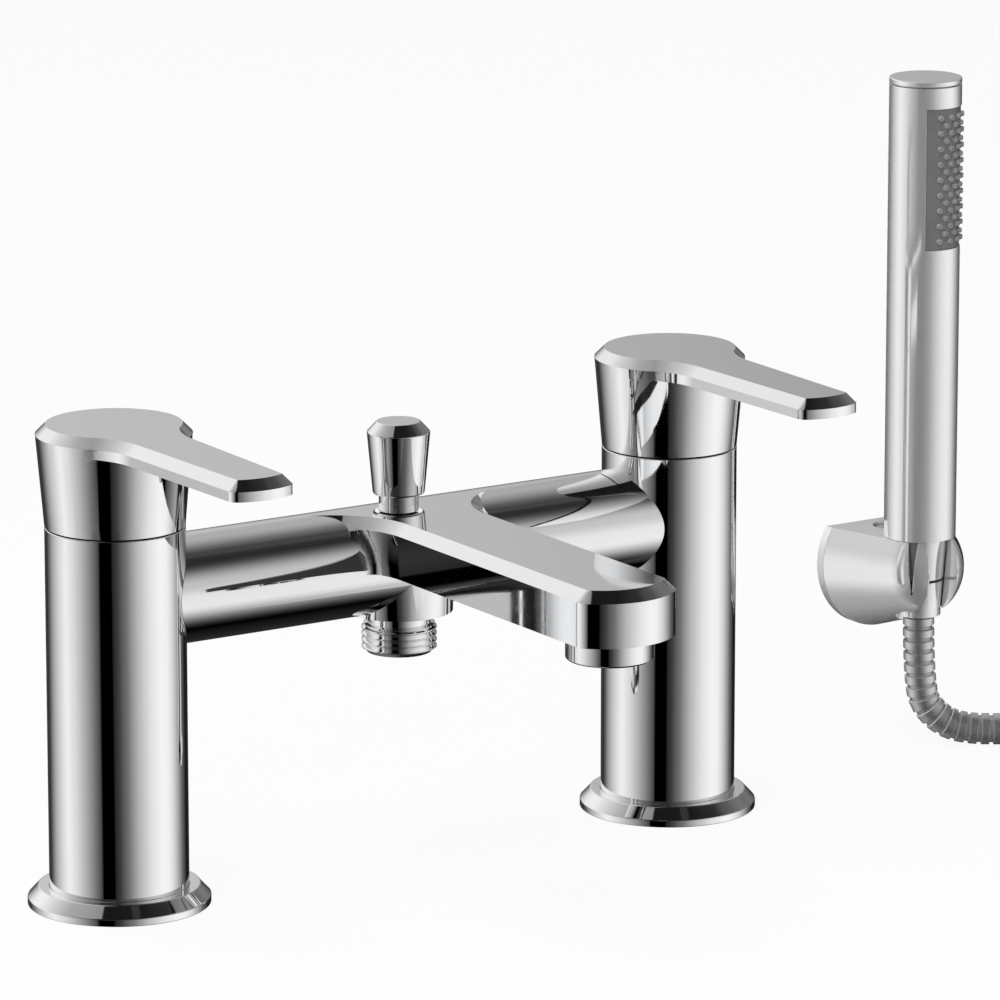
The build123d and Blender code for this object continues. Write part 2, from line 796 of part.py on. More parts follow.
# Wall bracket: lofted arm with a rounded fork, cut flat on top and open in front for the hose
plate_face = wall_y - wall_plate_thickness
socket_slope = (nut_top_dia - nut_foot_dia) / 2 / (nut_top - nut_foot_top)
socket_low = wall_disc_height - wall_disc_dia / 2 - overrun
socket_low_radius = nut_foot_dia / 2 + socket_gap
socket_high_radius = nut_top_dia / 2 + socket_gap + socket_slope * (bracket_top + overrun - nut_top)
blend_share = math.sqrt(1 - (2 * fork_blend / fork_width) ** 2)
bracket_x = handset_x + bracket_offset
with BuildPart() as bracket_casting:
    disc_place = (bracket_x, plate_face, wall_disc_height)
    with BuildSketch(Plane(disc_place, x_dir=(1, 0, 0), z_dir=(0, -1, 0))):
        Circle(wall_disc_dia / 2)
    blend_place = (handset_x, handset_y - fork_blend, fork_height)
    with BuildSketch(Plane(blend_place, x_dir=(1, 0, 0), z_dir=(0, -1, 0))):
        Ellipse(blend_share * fork_width / 2, blend_share * fork_depth / 2)
    loft()
    with BuildSketch(Plane((handset_x, handset_y, fork_height), x_dir=(1, 0, 0), z_dir=(0, -1, 0))) as fork:
        Ellipse(fork_width / 2, fork_depth / 2)
        Rectangle(fork_width, 2 * fork_depth, align=(Align.MAX, Align.CENTER), mode=Mode.SUBTRACT)
    revolve(axis=Axis((handset_x, handset_y, 0), (0, 0, 1)))
    split(bisect_by=Plane.XY.offset(bracket_top), keep=Keep.BOTTOM)
    turn(
        [
            (0, socket_low),
            (socket_low_radius, socket_low),
            (socket_low_radius, nut_foot_top),
            (socket_high_radius, bracket_top + overrun),
            (0, bracket_top + overrun),
        ],
        handset_x,
        handset_y,
        Mode.SUBTRACT,
    )
    with BuildSketch(Plane.XY.offset(socket_low)):
        with Locations((handset_x, handset_y)):
            Rectangle(slot_width, fork_width, align=(Align.CENTER, Align.MAX))
    extrude(amount=bracket_top + overrun - socket_low, mode=Mode.SUBTRACT)
    for bearing in (-90 - notch_turn, -90 + notch_turn):
        outward = Vector(1, 0).rotate(Axis.Z, bearing)
        across = Vector(0, 0, 1).cross(outward)
        with BuildSketch(Plane((handset_x, handset_y, bracket_top), x_dir=across, z_dir=outward)):
            with BuildLine():
                widening = notch_width / 2 * (1 + overrun / notch_depth)
                Polyline((-widening, overrun), (widening, overrun), (0, -notch_depth), close=True)
            make_face()
        extrude(amount=fork_width, mode=Mode.SUBTRACT)
    screw_seat = bracket_top - clamp_recess
    screw_low = screw_seat - clamp_shank_length
    counterbore = ring(clamp_hole_dia / 2, 0, screw_seat, bracket_top + overrun)
    screw_hole = ring(clamp_shank_dia / 2 + fit, 0, screw_low, bracket_top)
    turn(counterbore, bracket_x, clamp_y, Mode.SUBTRACT)
    turn(screw_hole, bracket_x, clamp_y, Mode.SUBTRACT)
    tongue_top = screw_seat - tongue_roof
    with BuildSketch(Plane.XZ.offset(-plate_face)):
        with Locations((bracket_x, tongue_top - tongue_height / 2)):
            Rectangle(tongue_width + 2 * strip_clearance, tongue_height + 2 * strip_clearance)
    extrude(amount=tongue_length + strip_clearance, mode=Mode.SUBTRACT)

# The arm, and the two sides of the fork round the socket
fork_back = handset_y + socket_high_radius + socket_gap
with BuildPart() as bracket_body:
    add(bracket_casting.part)
    split(bisect_by=Plane.XZ.offset(-fork_back), keep=Keep.BOTTOM)
finish(bracket_body, "bracket_body")

for side, keep in (("left", Keep.BOTTOM), ("right", Keep.TOP)):
    with BuildPart() as fork_side:
        add(bracket_casting.part)
        split(bisect_by=Plane.XZ.offset(-fork_back), keep=Keep.TOP)
        split(bisect_by=Plane.YZ.offset(handset_x), keep=keep)
    finish(fork_side, f"bracket_{side}_fork")

# Wall plate with the tongue that the clamp screw draws in
half_spacing = wall_screw_spacing / 2
screw_places = [(bracket_x - half_spacing, wall_disc_height), (bracket_x + half_spacing, wall_disc_height)]
with BuildPart() as bracket_plate:
    with BuildSketch(Plane.XZ.offset(-wall_y)):
        with Locations((bracket_x, wall_disc_height)):
            Circle(wall_disc_dia / 2)
        with Locations(*screw_places):
            Circle(wall_screw_dia / 2 + fit, mode=Mode.SUBTRACT)
    extrude(amount=wall_plate_thickness)
    with BuildSketch(Plane.XZ.offset(-plate_face - wall_screw_head - fit)):
        with Locations(*screw_places):
            Circle(wall_screw_head_dia / 2 + fit)
    extrude(amount=wall_screw_head + fit, mode=Mode.SUBTRACT)
    with BuildSketch(Plane.XZ.offset(-plate_face)):
        with Locations((bracket_x, tongue_top - tongue_height / 2)):
            Rectangle(tongue_width, tongue_height)
    extrude(amount=tongue_length)
    turn(screw_hole, bracket_x, clamp_y, Mode.SUBTRACT)
    split(bisect_by=Plane.XY.offset(bracket_top), keep=Keep.BOTTOM)
finish(bracket_plate, "bracket_plate")

# Clamp screw with its cross recess
with BuildPart() as bracket_screw:
    turn(ring(clamp_head_dia / 2, 0, screw_seat, screw_seat + clamp_head_height), bracket_x, clamp_y)
    turn(ring(clamp_shank_dia / 2, 0, screw_low + fit, screw_seat), bracket_x, clamp_y)
    with BuildSketch(Plane.XY.offset(screw_seat + clamp_head_height)):
        with Locations((bracket_x, clamp_y)):
            Rectangle(cross_length, cross_width)
            Rectangle(cross_width, cross_length)
    extrude(amount=-cross_depth, mode=Mode.SUBTRACT)
finish(bracket_screw, "bracket_screw")

# Conical hose nut in the socket, with its washer and the hose's tailpiece
nut_bore_radius = shank_dia / 2 + fit
nut_floor_top = nut_bottom + nut_floor
groove_radius = nut_foot_dia / 2 + socket_slope * (nut_groove - nut_foot_top)
with BuildPart() as hose_cone_nut:
    turn(
        [
            (hose_dia / 2 + nut_hose_gap, nut_bottom),
            (nut_foot_dia / 2, nut_bottom),
            (nut_foot_dia / 2, nut_foot_top),
            (nut_top_dia / 2, nut_top),
            (nut_bore_radius, nut_top),
            (nut_bore_radius, nut_floor_top),
            (hose_dia / 2 + nut_hose_gap, nut_floor_top),
        ],
        handset_x,
        handset_y,
    )
    groove_bottom = nut_groove - nut_groove_width / 2
    groove_top = nut_groove + nut_groove_width / 2
    groove = ring(nut_top_dia, groove_radius - nut_groove_depth, groove_bottom, groove_top)
    turn(groove, handset_x, handset_y, Mode.SUBTRACT)
finish(hose_cone_nut, "hose_cone_nut")

flange_top = shank_bottom - nut_washer_thickness
with BuildPart() as hose_washer:
    turn(ring(nut_bore_radius - fit, shank_bore_dia / 2, flange_top, shank_bottom), handset_x, handset_y)
finish(hose_washer, "hose_washer")

with BuildPart() as hose_tailpiece:
    turn(ring(nut_bore_radius - fit, 0, nut_floor_top, flange_top), handset_x, handset_y)
    tailpiece_bottom = nut_floor_top - tailpiece_length
    turn(ring(tailpiece_dia / 2, 0, tailpiece_bottom, nut_floor_top), handset_x, handset_y)
    tailpiece_bore = ring(tailpiece_bore_dia / 2, 0, tailpiece_bottom - overrun, flange_top + overrun)
    turn(tailpiece_bore, handset_x, handset_y, Mode.SUBTRACT)
finish(hose_tailpiece, "hose_tailpiece")

# Hose route from the nut to the deck and on towards the coil
heading = Vector(1, 0).rotate(Axis.Z, hose_heading)
sideways = Vector(0, 1).rotate(Axis.Z, hose_heading)
route = [Vector(handset_x, handset_y) + heading * along + Vector(0, 0, up) for along, up in hose_route]
runs = [(end - start).length for start, end in zip(route, route[1:])]
radii = []
for index in range(1, len(route) - 1):
    bend = (route[index] - route[index - 1]).get_angle(route[index + 1] - route[index])
    shorter = min(runs[index - 1], runs[index])
    radii.append(hose_bend_share * shorter / math.tan(math.radians(bend / 2)))
print("hose corner radii", [round(radius, 1) for radius in radii])
hanging_path = FilletPolyline(*route, radius=radii)

# Ribbed hose: a ruled loft through four circles for each rib, straight at both ends
hanging_length = hanging_path.length
ribbed = hanging_length - 2 * hose_dia
rib_count = round(ribbed / hose_rib_pitch)
rib_step = ribbed / rib_count
flank = hose_flank_share * rib_step
crest = hose_rib_share * rib_step
stations = [(0, hose_root_dia / 2), (hose_dia, hose_root_dia / 2)]
for rib in range(rib_count):
    start = hose_dia + rib * rib_step + (rib_step - crest) / 2
    stations += [
        (start - flank, hose_root_dia / 2),
        (start, hose_dia / 2),
        (start + crest, hose_dia / 2),
        (start + crest + flank, hose_root_dia / 2),
    ]
stations += [(hanging_length - hose_dia, hose_root_dia / 2), (hanging_length, hose_root_dia / 2)]


def hose_plane(path, station):
    """Plane across the hose at a length along its path, with its X axis held steady."""
    place = path.position_at(station, position_mode=PositionMode.LENGTH)
    along = path.tangent_at(station, position_mode=PositionMode.LENGTH)
    return Plane(place, x_dir=sideways, z_dir=along)


with BuildPart() as hose_hanging:
    for station, radius in stations:
        with BuildSketch(hose_plane(hanging_path, station)):
            Circle(radius)
    loft(ruled=True)
    with BuildSketch(Plane(route[0], x_dir=sideways, z_dir=(0, 0, -1))) as bore:
        Circle(hose_bore_dia / 2)
    sweep(path=hanging_path, mode=Mode.SUBTRACT)
finish(hose_hanging, "hose_hanging")


def biarc(start, start_way, end, end_way):
    """Two arcs from start to end that leave and arrive along the given unit directions."""
    span = end - start
    total = start_way + end_way
    lead = span.dot(total)
    spread = 2 * (1 - start_way.dot(end_way))
    if spread < 1e-9:
        reach = span.dot(span) / (4 * span.dot(end_way))
    else:
        reach = (math.sqrt(lead**2 + spread * span.dot(span)) - lead) / spread
    middle = (start + start_way * reach + end - end_way * reach) / 2
    first = TangentArc(start, middle, tangent=start_way)
    TangentArc(middle, end, tangent=first % 1)


# Coil: in on the deck, up half a turn at the middle, out again on top, then the tail to the nut
coil_start = route[-1]
coil_heading = hose_heading - approach_turn
side_turn = math.radians(approach_turn)
arrival = (
    coil_start
    + heading * approach_radius * math.sin(side_turn)
    - sideways * approach_radius * (1 - math.cos(side_turn))
)
coil_way = Vector(1, 0).rotate(Axis.Z, coil_heading)
coil_centre = arrival - coil_way.rotate(Axis.Z, 90) * coil_outer_radius
half_way = coil_quarters + climb_quarters / 2
coil_inner_radius = coil_outer_radius - coil_pitch * half_way / 4
spiral = coil_pitch / (2 * math.pi)
climb = 2 * coil_pitch / (math.pi * coil_inner_radius)
knots = []
for quarter in range(2 * coil_quarters + climb_quarters + 1):
    outward = Vector(1, 0).rotate(Axis.Z, coil_heading + 90 - 90 * quarter)
    onward = outward.rotate(Axis.Z, -90)
    past = quarter - half_way
    radius = coil_inner_radius + coil_pitch * abs(past) / 4
    lift = min(max(past / climb_quarters, -0.5), 0.5) * coil_pitch + coil_pitch / 2
    if past == 0:
        way = onward + Vector(0, 0, climb)
    elif abs(past) < half_way:
        way = onward + outward * math.copysign(spiral / radius, past)
    else:
        way = onward
    knots.append((coil_centre + outward * radius + Vector(0, 0, lift), way.normalized()))
tail_drop = Vector(0, 0, coil_tail_height - hose_floor - coil_pitch)
coil_end = knots[-1][0]
tail_start = coil_end + coil_way * coil_tail_level
tail_end = tail_start + coil_way * coil_tail + tail_drop
hose_end = tail_end + coil_way * coil_tail_straight
with BuildLine() as coil_line:
    TangentArc(coil_start, knots[0][0], tangent=heading)
    for (start, start_way), (end, end_way) in zip(knots, knots[1:]):
        biarc(start, start_way, end, end_way)
    Line(coil_end, tail_start)
    biarc(tail_start, coil_way, tail_end, coil_way)
    Line(tail_end, hose_end)
coil_path = coil_line.wire()

with BuildPart() as hose_coil:
    with BuildSketch(Plane(coil_start, x_dir=sideways, z_dir=heading)):
        Circle(hose_dia / 2)
    sweep(path=coil_path)
    with BuildSketch(Plane(hose_end, x_dir=(0, 0, 1), z_dir=coil_way)):
        Circle(hose_bore_dia / 2)
    extrude(amount=-tailpiece_length, mode=Mode.SUBTRACT)
finish(hose_coil, "hose_coil")

# Checks on the hose, printed: length, volume against section times length, gap between turns
coil_length = coil_path.length
print("hose length", round(hanging_length + coil_length, 1))
tube_volume = math.pi / 4 * (hose_dia**2 * coil_length - hose_bore_dia**2 * tailpiece_length)
print("coil volume share", round(hose_coil.part.volume / tube_volume, 4))
steps_per_dia = 4
skip_dias = 4
gap_step = hose_dia / steps_per_dia
samples = [
    coil_path.position_at(index * gap_step, position_mode=PositionMode.LENGTH)
    for index in range(int(coil_length / gap_step))
]
skip = skip_dias * steps_per_dia
least = min(
    (samples[first] - samples[second]).length
    for first in range(len(samples))
    for second in range(first + skip, len(samples))
)
print("least gap between turns", round(least - hose_dia, 2))

# End nut and its tailpiece, lying on the deck at the end of the hose
end_plane = Plane(hose_end, x_dir=(0, 0, 1), z_dir=coil_way)
with BuildPart() as hose_end_nut:
    with BuildSketch(end_plane.offset(-end_nut_floor)):
        Circle(end_nut_dia / 2)
    extrude(amount=end_nut_length)
    chamfer(edges().filter_by(GeomType.CIRCLE), end_nut_edge)
    with BuildSketch(end_plane.offset(-end_nut_floor)):
        Circle(hose_dia / 2 + nut_hose_gap)
    extrude(amount=end_nut_length, mode=Mode.SUBTRACT)
    with BuildSketch(end_plane):
        Circle(end_nut_bore_dia / 2)
    extrude(amount=end_nut_length, mode=Mode.SUBTRACT)
finish(hose_end_nut, "hose_end_nut")

with BuildPart() as hose_end_tailpiece:
    with BuildSketch(end_plane):
        Circle(end_flange_dia / 2)
    extrude(amount=end_flange_thickness)
    with BuildSketch(end_plane):
        Circle(tailpiece_dia / 2)
    extrude(amount=-tailpiece_length)
    with BuildSketch(end_plane.offset(end_flange_thickness)):
        Circle(tailpiece_bore_dia / 2)
    extrude(amount=-end_flange_thickness - tailpiece_length, mode=Mode.SUBTRACT)
finish(hose_end_tailpiece, "hose_end_tailpiece")
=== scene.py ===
import logging
import math
from dataclasses import dataclass
from enum import Enum
from typing import Callable, Sequence

import bmesh
import bpy
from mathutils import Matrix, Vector


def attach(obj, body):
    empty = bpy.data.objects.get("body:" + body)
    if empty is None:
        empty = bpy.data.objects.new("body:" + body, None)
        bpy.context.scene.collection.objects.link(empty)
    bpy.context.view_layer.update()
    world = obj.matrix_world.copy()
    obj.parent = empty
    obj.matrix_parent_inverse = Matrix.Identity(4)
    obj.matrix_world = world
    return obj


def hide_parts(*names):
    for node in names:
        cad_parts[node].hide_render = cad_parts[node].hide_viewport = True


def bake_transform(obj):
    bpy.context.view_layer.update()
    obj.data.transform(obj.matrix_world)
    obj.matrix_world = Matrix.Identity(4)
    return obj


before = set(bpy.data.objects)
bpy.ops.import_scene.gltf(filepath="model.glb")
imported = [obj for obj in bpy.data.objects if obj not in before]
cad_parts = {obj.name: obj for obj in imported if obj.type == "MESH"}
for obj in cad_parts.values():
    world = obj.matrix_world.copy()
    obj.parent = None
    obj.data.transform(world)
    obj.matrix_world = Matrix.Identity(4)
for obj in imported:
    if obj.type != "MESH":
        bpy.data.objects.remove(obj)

Point = tuple[float, float]
Place = tuple[float, float, float]
Piece = bpy.types.Object
Socket = bpy.types.NodeSocket

MM = 0.001
AROUND = 128
FIT = 0.05  # Clearance on the radius between pieces that fit over each other, in millimetres
THREAD_PITCH = 1.814  # Of the G1/2 and G3/4 pipe threads, in millimetres
PILLAR_X = 90.0  # From the middle to each pillar's axis, in millimetres
SHADE_PAST = 6.0  # Degrees by which edges stay smooth past the angle that is rounded
SORT_FROM = (0.731, -1.417, 0.893)  # A point that lies equally far from no two vertices of a piece
log = logging.getLogger("bath_shower_mixer")


class Kind(Enum):
    """What an edit-mode selection picks."""

    VERTICES = 0
    EDGES = 1


class Body(Enum):
    """The bodies that a piece can ride, by their names in the model."""

    MIXER = "mixer"
    LEFT_HANDLE = "left_handle"
    RIGHT_HANDLE = "right_handle"
    DIVERTER = "diverter"
    HOSE_NUT = "hose_nut"
    HANDSET = "handset"


# Finishes


def wired(
    tree: bpy.types.NodeTree, kind: str, inputs: dict[str | int, object] | None = None, **settings: object
) -> bpy.types.Node:
    """Adds one node to a node tree.

    Args:
        tree: The node tree.
        kind: Blender's name for the node's type.
        inputs: What the node's inputs get, by name or place: the output that feeds each, or a value.
        **settings: The node's settings.

    Returns:
        The node.
    """
    node = tree.nodes.new(kind)
    for name, value in settings.items():
        setattr(node, name, value)
    for name, value in (inputs or {}).items():
        if isinstance(value, Socket):
            tree.links.new(value, node.inputs[name])
        else:
            node.inputs[name].default_value = value
    return node


@dataclass(frozen=True)
class Finish:
    """A procedural finish: two tones and two roughnesses mixed by a grain, with a slight relief.

    The grain is in cycles per metre, and stretch flattens it along an axis for turned metal. The tones
    follow a grain that is broad_share times as coarse, and the span is the part of the fine grain's range
    that takes the roughness from smooth to rough. Relief is a strength from 0 to 1, its depth millimetres.
    """

    name: str
    slot: str
    light: Place
    dark: Place
    metallic: float = 0.0
    smooth: float = 0.3
    rough: float = 0.5
    grain: float = 400.0
    stretch: Place = (1.0, 1.0, 1.0)
    relief: float = 0.02
    relief_depth: float = 0.02
    broad_share: float = 12.0
    grain_span: Point = (0.3, 0.7)

    def material(self) -> bpy.types.Material:
        """Builds the finish's node material once.

        Returns:
            The material, found again by name when it was built before.
        """
        known = bpy.data.materials.get(self.name)
        if known:
            return known
        made = bpy.data.materials.new(self.name)
        made.use_nodes = True
        tree = made.node_tree
        place = wired(tree, "ShaderNodeTexCoord").outputs["Object"]
        mapping = wired(tree, "ShaderNodeMapping", {"Vector": place, "Scale": self.stretch})

        def noise(vector: Socket, scale: float, detail: float) -> Socket:
            """Adds one noise texture and returns its output."""
            inputs = {"Vector": vector, "Scale": scale, "Detail": detail}
            return wired(tree, "ShaderNodeTexNoise", inputs).outputs["Fac"]

        fine = noise(mapping.outputs["Vector"], self.grain, 4.0)
        broad = noise(place, self.grain / self.broad_share, 2.0)
        tones = {"Factor": broad, "A": (*self.dark, 1.0), "B": (*self.light, 1.0)}
        tone = wired(tree, "ShaderNodeMix", tones, data_type="RGBA")
        low, high = self.grain_span
        span = {"From Min": low, "From Max": high, "To Min": self.smooth, "To Max": self.rough}
        sheen = wired(tree, "ShaderNodeMapRange", {"Value": fine, **span})
        relief = {"Height": fine, "Strength": self.relief, "Distance": self.relief_depth * MM}
        bump = wired(tree, "ShaderNodeBump", relief)
        shader = tree.nodes["Principled BSDF"]
        shader.inputs["Metallic"].default_value = self.metallic
        tree.links.new(tone.outputs["Result"], shader.inputs["Base Color"])
        tree.links.new(sheen.outputs["Result"], shader.inputs["Roughness"])
        tree.links.new(bump.outputs["Normal"], shader.inputs["Normal"])
        return made


CHROME = Finish(
    "polished_chrome", "chrome", (0.93, 0.935, 0.94), (0.9, 0.905, 0.915),
    metallic=1.0, smooth=0.02, rough=0.05, grain=300.0, relief=0.01,
)
SOFT_CHROME = Finish(
    "turned_chrome", "chrome", (0.9, 0.905, 0.91), (0.84, 0.845, 0.86),
    metallic=1.0, smooth=0.08, rough=0.16, grain=900.0, stretch=(1.0, 1.0, 8.0),
)
SATIN_CHROME = Finish(
    "satin_chrome", "chrome", (0.95, 0.952, 0.956), (0.92, 0.922, 0.928),
    metallic=0.68, smooth=0.07, rough=0.13, grain=500.0, stretch=(1.0, 1.0, 9.0), relief=0.015,
)
# Painted shade: a dark chrome for the walls of the bracket fork's notches, where shade falls.
NOTCH_SHADE = Finish(
    "notch_painted_shade", "chrome", (0.2, 0.201, 0.204), (0.14, 0.141, 0.144),
    metallic=0.9, smooth=0.1, rough=0.2, grain=500.0, stretch=(1.0, 1.0, 9.0), relief=0.015,
)
HOSE_STEEL = Finish(
    "hose_steel", "hose_steel", (0.97, 0.972, 0.976), (0.94, 0.942, 0.948),
    metallic=0.3, smooth=0.1, rough=0.18, grain=1200.0,
)
# Painted shade: a darker steel for the hose's groove faces between the ribs, where shade falls.
HOSE_GROOVE_SHADE = Finish(
    "hose_groove_painted_shade", "hose_steel", (0.5, 0.502, 0.508), (0.4, 0.402, 0.41),
    metallic=0.6, smooth=0.22, rough=0.34, grain=1200.0,
)
BRASS = Finish(
    "machined_brass", "brass", (0.83, 0.63, 0.3), (0.68, 0.49, 0.2),
    metallic=1.0, smooth=0.2, rough=0.38, grain=900.0, stretch=(1.0, 1.0, 6.0),
)
STEEL = Finish(
    "bright_steel", "steel", (0.72, 0.72, 0.73), (0.6, 0.6, 0.62),
    metallic=1.0, smooth=0.16, rough=0.32, grain=900.0, stretch=(1.0, 1.0, 5.0),
)
CERAMIC = Finish(
    "lapped_ceramic", "ceramic", (0.9, 0.88, 0.84), (0.84, 0.82, 0.78),
    metallic=0.0, smooth=0.08, rough=0.18, grain=700.0,
)
RUBBER = Finish(
    "black_rubber", "rubber", (0.035, 0.035, 0.037), (0.02, 0.02, 0.021),
    metallic=0.0, smooth=0.5, rough=0.7, grain=1500.0, relief=0.12,
)
GREY_PLASTIC = Finish(
    "grey_plastic", "dark_plastic", (0.2, 0.202, 0.208), (0.15, 0.152, 0.158),
    metallic=0.0, smooth=0.28, rough=0.42, grain=1400.0, relief=0.05,
)
NOZZLE_RUBBER = Finish(
    "nozzle_rubber", "dark_plastic", (0.36, 0.362, 0.37), (0.3, 0.302, 0.31),
    metallic=0.0, smooth=0.35, rough=0.5, grain=1800.0, relief=0.05,
)
WHITE_PLASTIC = Finish(
    "white_plastic", "white_plastic", (0.82, 0.82, 0.81), (0.74, 0.74, 0.735),
    metallic=0.0, smooth=0.22, rough=0.4, grain=1200.0, relief=0.05,
)


# Bench: the few moves by hand that every sub-assembly uses


def rest() -> None:
    """Leaves edit mode and deselects everything."""
    if bpy.context.object and bpy.context.object.mode == "EDIT":
        bpy.ops.object.mode_set(mode="OBJECT")
    bpy.ops.object.select_all(action="DESELECT")


def take(piece: Piece) -> None:
    """Selects one piece alone and makes it active."""
    rest()
    piece.select_set(True)
    bpy.context.view_layer.objects.active = piece


def pick(piece: Piece, kind: Kind, test: Callable) -> None:
    """Selects the vertices or edges of a piece in edit mode that pass a test.

    Args:
        piece: The piece, in edit mode.
        kind: What is selected.
        test: Takes a bmesh element and says whether it is wanted.
    """
    bpy.ops.mesh.select_all(action="DESELECT")
    bpy.context.tool_settings.mesh_select_mode = tuple(kind.value == place for place in range(3))
    mesh = bmesh.from_edit_mesh(piece.data)
    for item in (mesh.verts, mesh.edges)[kind.value]:
        if test(item):
            item.select_set(True)
    mesh.select_flush_mode()
    bmesh.update_edit_mesh(piece.data)


def open_up(piece: Piece) -> None:
    """Takes one piece into edit mode with everything on it selected."""
    take(piece)
    bpy.ops.object.mode_set(mode="EDIT")
    bpy.ops.mesh.select_all(action="SELECT")


def settle(piece: Piece) -> Piece:
    """Closes a finished mesh: doubles merged, faces outwards, its place in its mesh.

    Args:
        piece: The piece, in edit or object mode.

    Returns:
        The same piece, in object mode with its origin at the frame's.
    """
    open_up(piece)
    bpy.ops.mesh.remove_doubles(threshold=0.001 * MM)
    bpy.ops.mesh.normals_make_consistent(inside=False)
    bpy.ops.object.mode_set(mode="OBJECT")
    bpy.ops.object.transform_apply(location=True, rotation=True, scale=True)
    return piece


def modified(piece: Piece, kind: str, **settings: object) -> Piece:
    """Adds one modifier to a piece and applies it.

    Args:
        piece: The piece.
        kind: Blender's name for the modifier's type.
        **settings: The modifier's settings.

    Returns:
        The same piece.
    """
    take(piece)
    change = piece.modifiers.new(kind.lower(), kind)
    for name, value in settings.items():
        setattr(change, name, value)
    bpy.ops.object.modifier_apply(modifier=change.name)
    return piece


def eased(
    piece: Piece, edge: float = 0.2, segments: int = 2, angle: float = 28.0, clamp: bool = True
) -> Piece:
    """Rounds a piece's sharp edges and shades it so that flats stay flat.

    Args:
        piece: The piece.
        edge: Width of the rounding in millimetres, or 0 for none.
        segments: Faces across the rounding.
        angle: Edges sharper than this many degrees are rounded.
        clamp: False keeps the width where cuts have left short edges.

    Returns:
        The same piece.
    """
    if edge:
        modified(
            piece,
            "BEVEL",
            width=edge * MM,
            segments=segments,
            limit_method="ANGLE",
            angle_limit=math.radians(angle),
            miter_outer="MITER_ARC" if clamp else "MITER_SHARP",
            use_clamp_overlap=clamp,
        )
    take(piece)
    bpy.ops.object.shade_smooth_by_angle(angle=math.radians(angle + SHADE_PAST))
    return modified(piece, "WEIGHTED_NORMAL", keep_sharp=True, weight=100)


def turned(
    name: str,
    profile: Sequence[Point],
    x: float = 0.0,
    y: float = 0.0,
    around: int = AROUND,
    hollow: bool = False,
) -> Piece:
    """Turns a piece about an upright axis, ring by ring, as on a lathe.

    Args:
        name: The piece's name.
        profile: (radius, height) pairs in millimetres, from the first ring to the last.
        x: The axis's place across, in millimetres.
        y: The axis's place from front to back, in millimetres.
        around: Vertices in each ring.
        hollow: True joins the last ring to the first, and False caps both ends.

    Returns:
        The piece, settled.
    """
    rest()
    radius, height = profile[0]
    bpy.ops.mesh.primitive_circle_add(
        vertices=around,
        radius=radius * MM,
        fill_type="NOTHING" if hollow else "NGON",
        location=(x * MM, y * MM, height * MM),
    )
    piece = bpy.context.object
    piece.name = name
    bpy.ops.object.mode_set(mode="EDIT")
    bpy.ops.mesh.select_all(action="SELECT")
    for next_radius, next_height in profile[1:]:
        rise = {"value": (0.0, 0.0, (next_height - height) * MM)}
        if hollow:
            bpy.ops.mesh.extrude_edges_move(TRANSFORM_OT_translate=rise)
        else:
            bpy.ops.mesh.extrude_region_move(TRANSFORM_OT_translate=rise)
        share = next_radius / radius
        middle = (x * MM, y * MM, next_height * MM)
        bpy.ops.transform.resize(value=(share, share, 1.0), center_override=middle)
        radius, height = next_radius, next_height
    if hollow:
        rings = (0, len(profile) - 1)
        pick(
            piece,
            Kind.EDGES,
            lambda edge: any({vertex.index // around for vertex in edge.verts} == {place} for place in rings),
        )
        bpy.ops.mesh.bridge_edge_loops()
    return settle(piece)


def ring(outer: float, inner: float, bottom: float, top: float) -> list[Point]:
    """Profile of a plain ring from its radii and heights."""
    return [(inner, bottom), (outer, bottom), (outer, top), (inner, top)]


def threaded(radius: float, low: float, high: float, depth: float) -> list[Point]:
    """Profile of a run of thread ridges, from its low end to its high one.

    Args:
        radius: The crests' radius, in millimetres.
        low: Height where the ridges start.
        high: Height where they end.
        depth: How deep the grooves lie below the crests.

    Returns:
        (radius, height) pairs.
    """
    ridge = ((radius - depth, 0.06), (radius, 0.42), (radius, 0.58), (radius - depth, 0.94))
    count = int((high - low) / THREAD_PITCH)
    return [
        (reach, low + index * THREAD_PITCH + share * THREAD_PITCH)
        for index in range(count)
        for reach, share in ridge
    ]


def carved(piece: Piece, tool: Piece, operation: str = "DIFFERENCE") -> Piece:
    """Cuts a tool out of a piece, or keeps what both share, and removes the tool.

    Both are made triangles first, and the result is sorted, so that each run cuts in the same way.

    Args:
        piece: The piece.
        tool: The solid to cut with.
        operation: Blender's name for the boolean operation.

    Returns:
        The same piece.
    """
    for solid in (piece, tool):
        open_up(solid)
        bpy.ops.mesh.quads_convert_to_tris()
        bpy.ops.mesh.remove_doubles(threshold=0.0002 * MM)
        rest()
    modified(piece, "BOOLEAN", object=tool, operation=operation, solver="MANIFOLD")
    bpy.data.objects.remove(tool)
    bpy.context.scene.cursor.location = SORT_FROM
    open_up(piece)
    bpy.ops.mesh.sort_elements(type="CURSOR_DISTANCE", elements={"VERT", "EDGE", "FACE"})
    rest()
    return piece


def cleaned(piece: Piece, gap: float = 0.04, angle: float = 0.4) -> Piece:
    """Merges the slivers that cuts leave, and the triangles of each flat.

    Args:
        piece: The cut piece.
        gap: Vertices closer than this many millimetres become one.
        angle: Neighbouring faces within this many degrees become one.

    Returns:
        The same piece, settled.
    """
    open_up(piece)
    bpy.ops.mesh.remove_doubles(threshold=gap * MM)
    bpy.ops.mesh.dissolve_limited(angle_limit=math.radians(angle))
    bpy.ops.mesh.select_all(action="SELECT")
    bpy.ops.mesh.dissolve_degenerate(threshold=gap * MM)
    bpy.ops.mesh.select_all(action="SELECT")
    bpy.ops.mesh.delete_loose()
    return settle(piece)


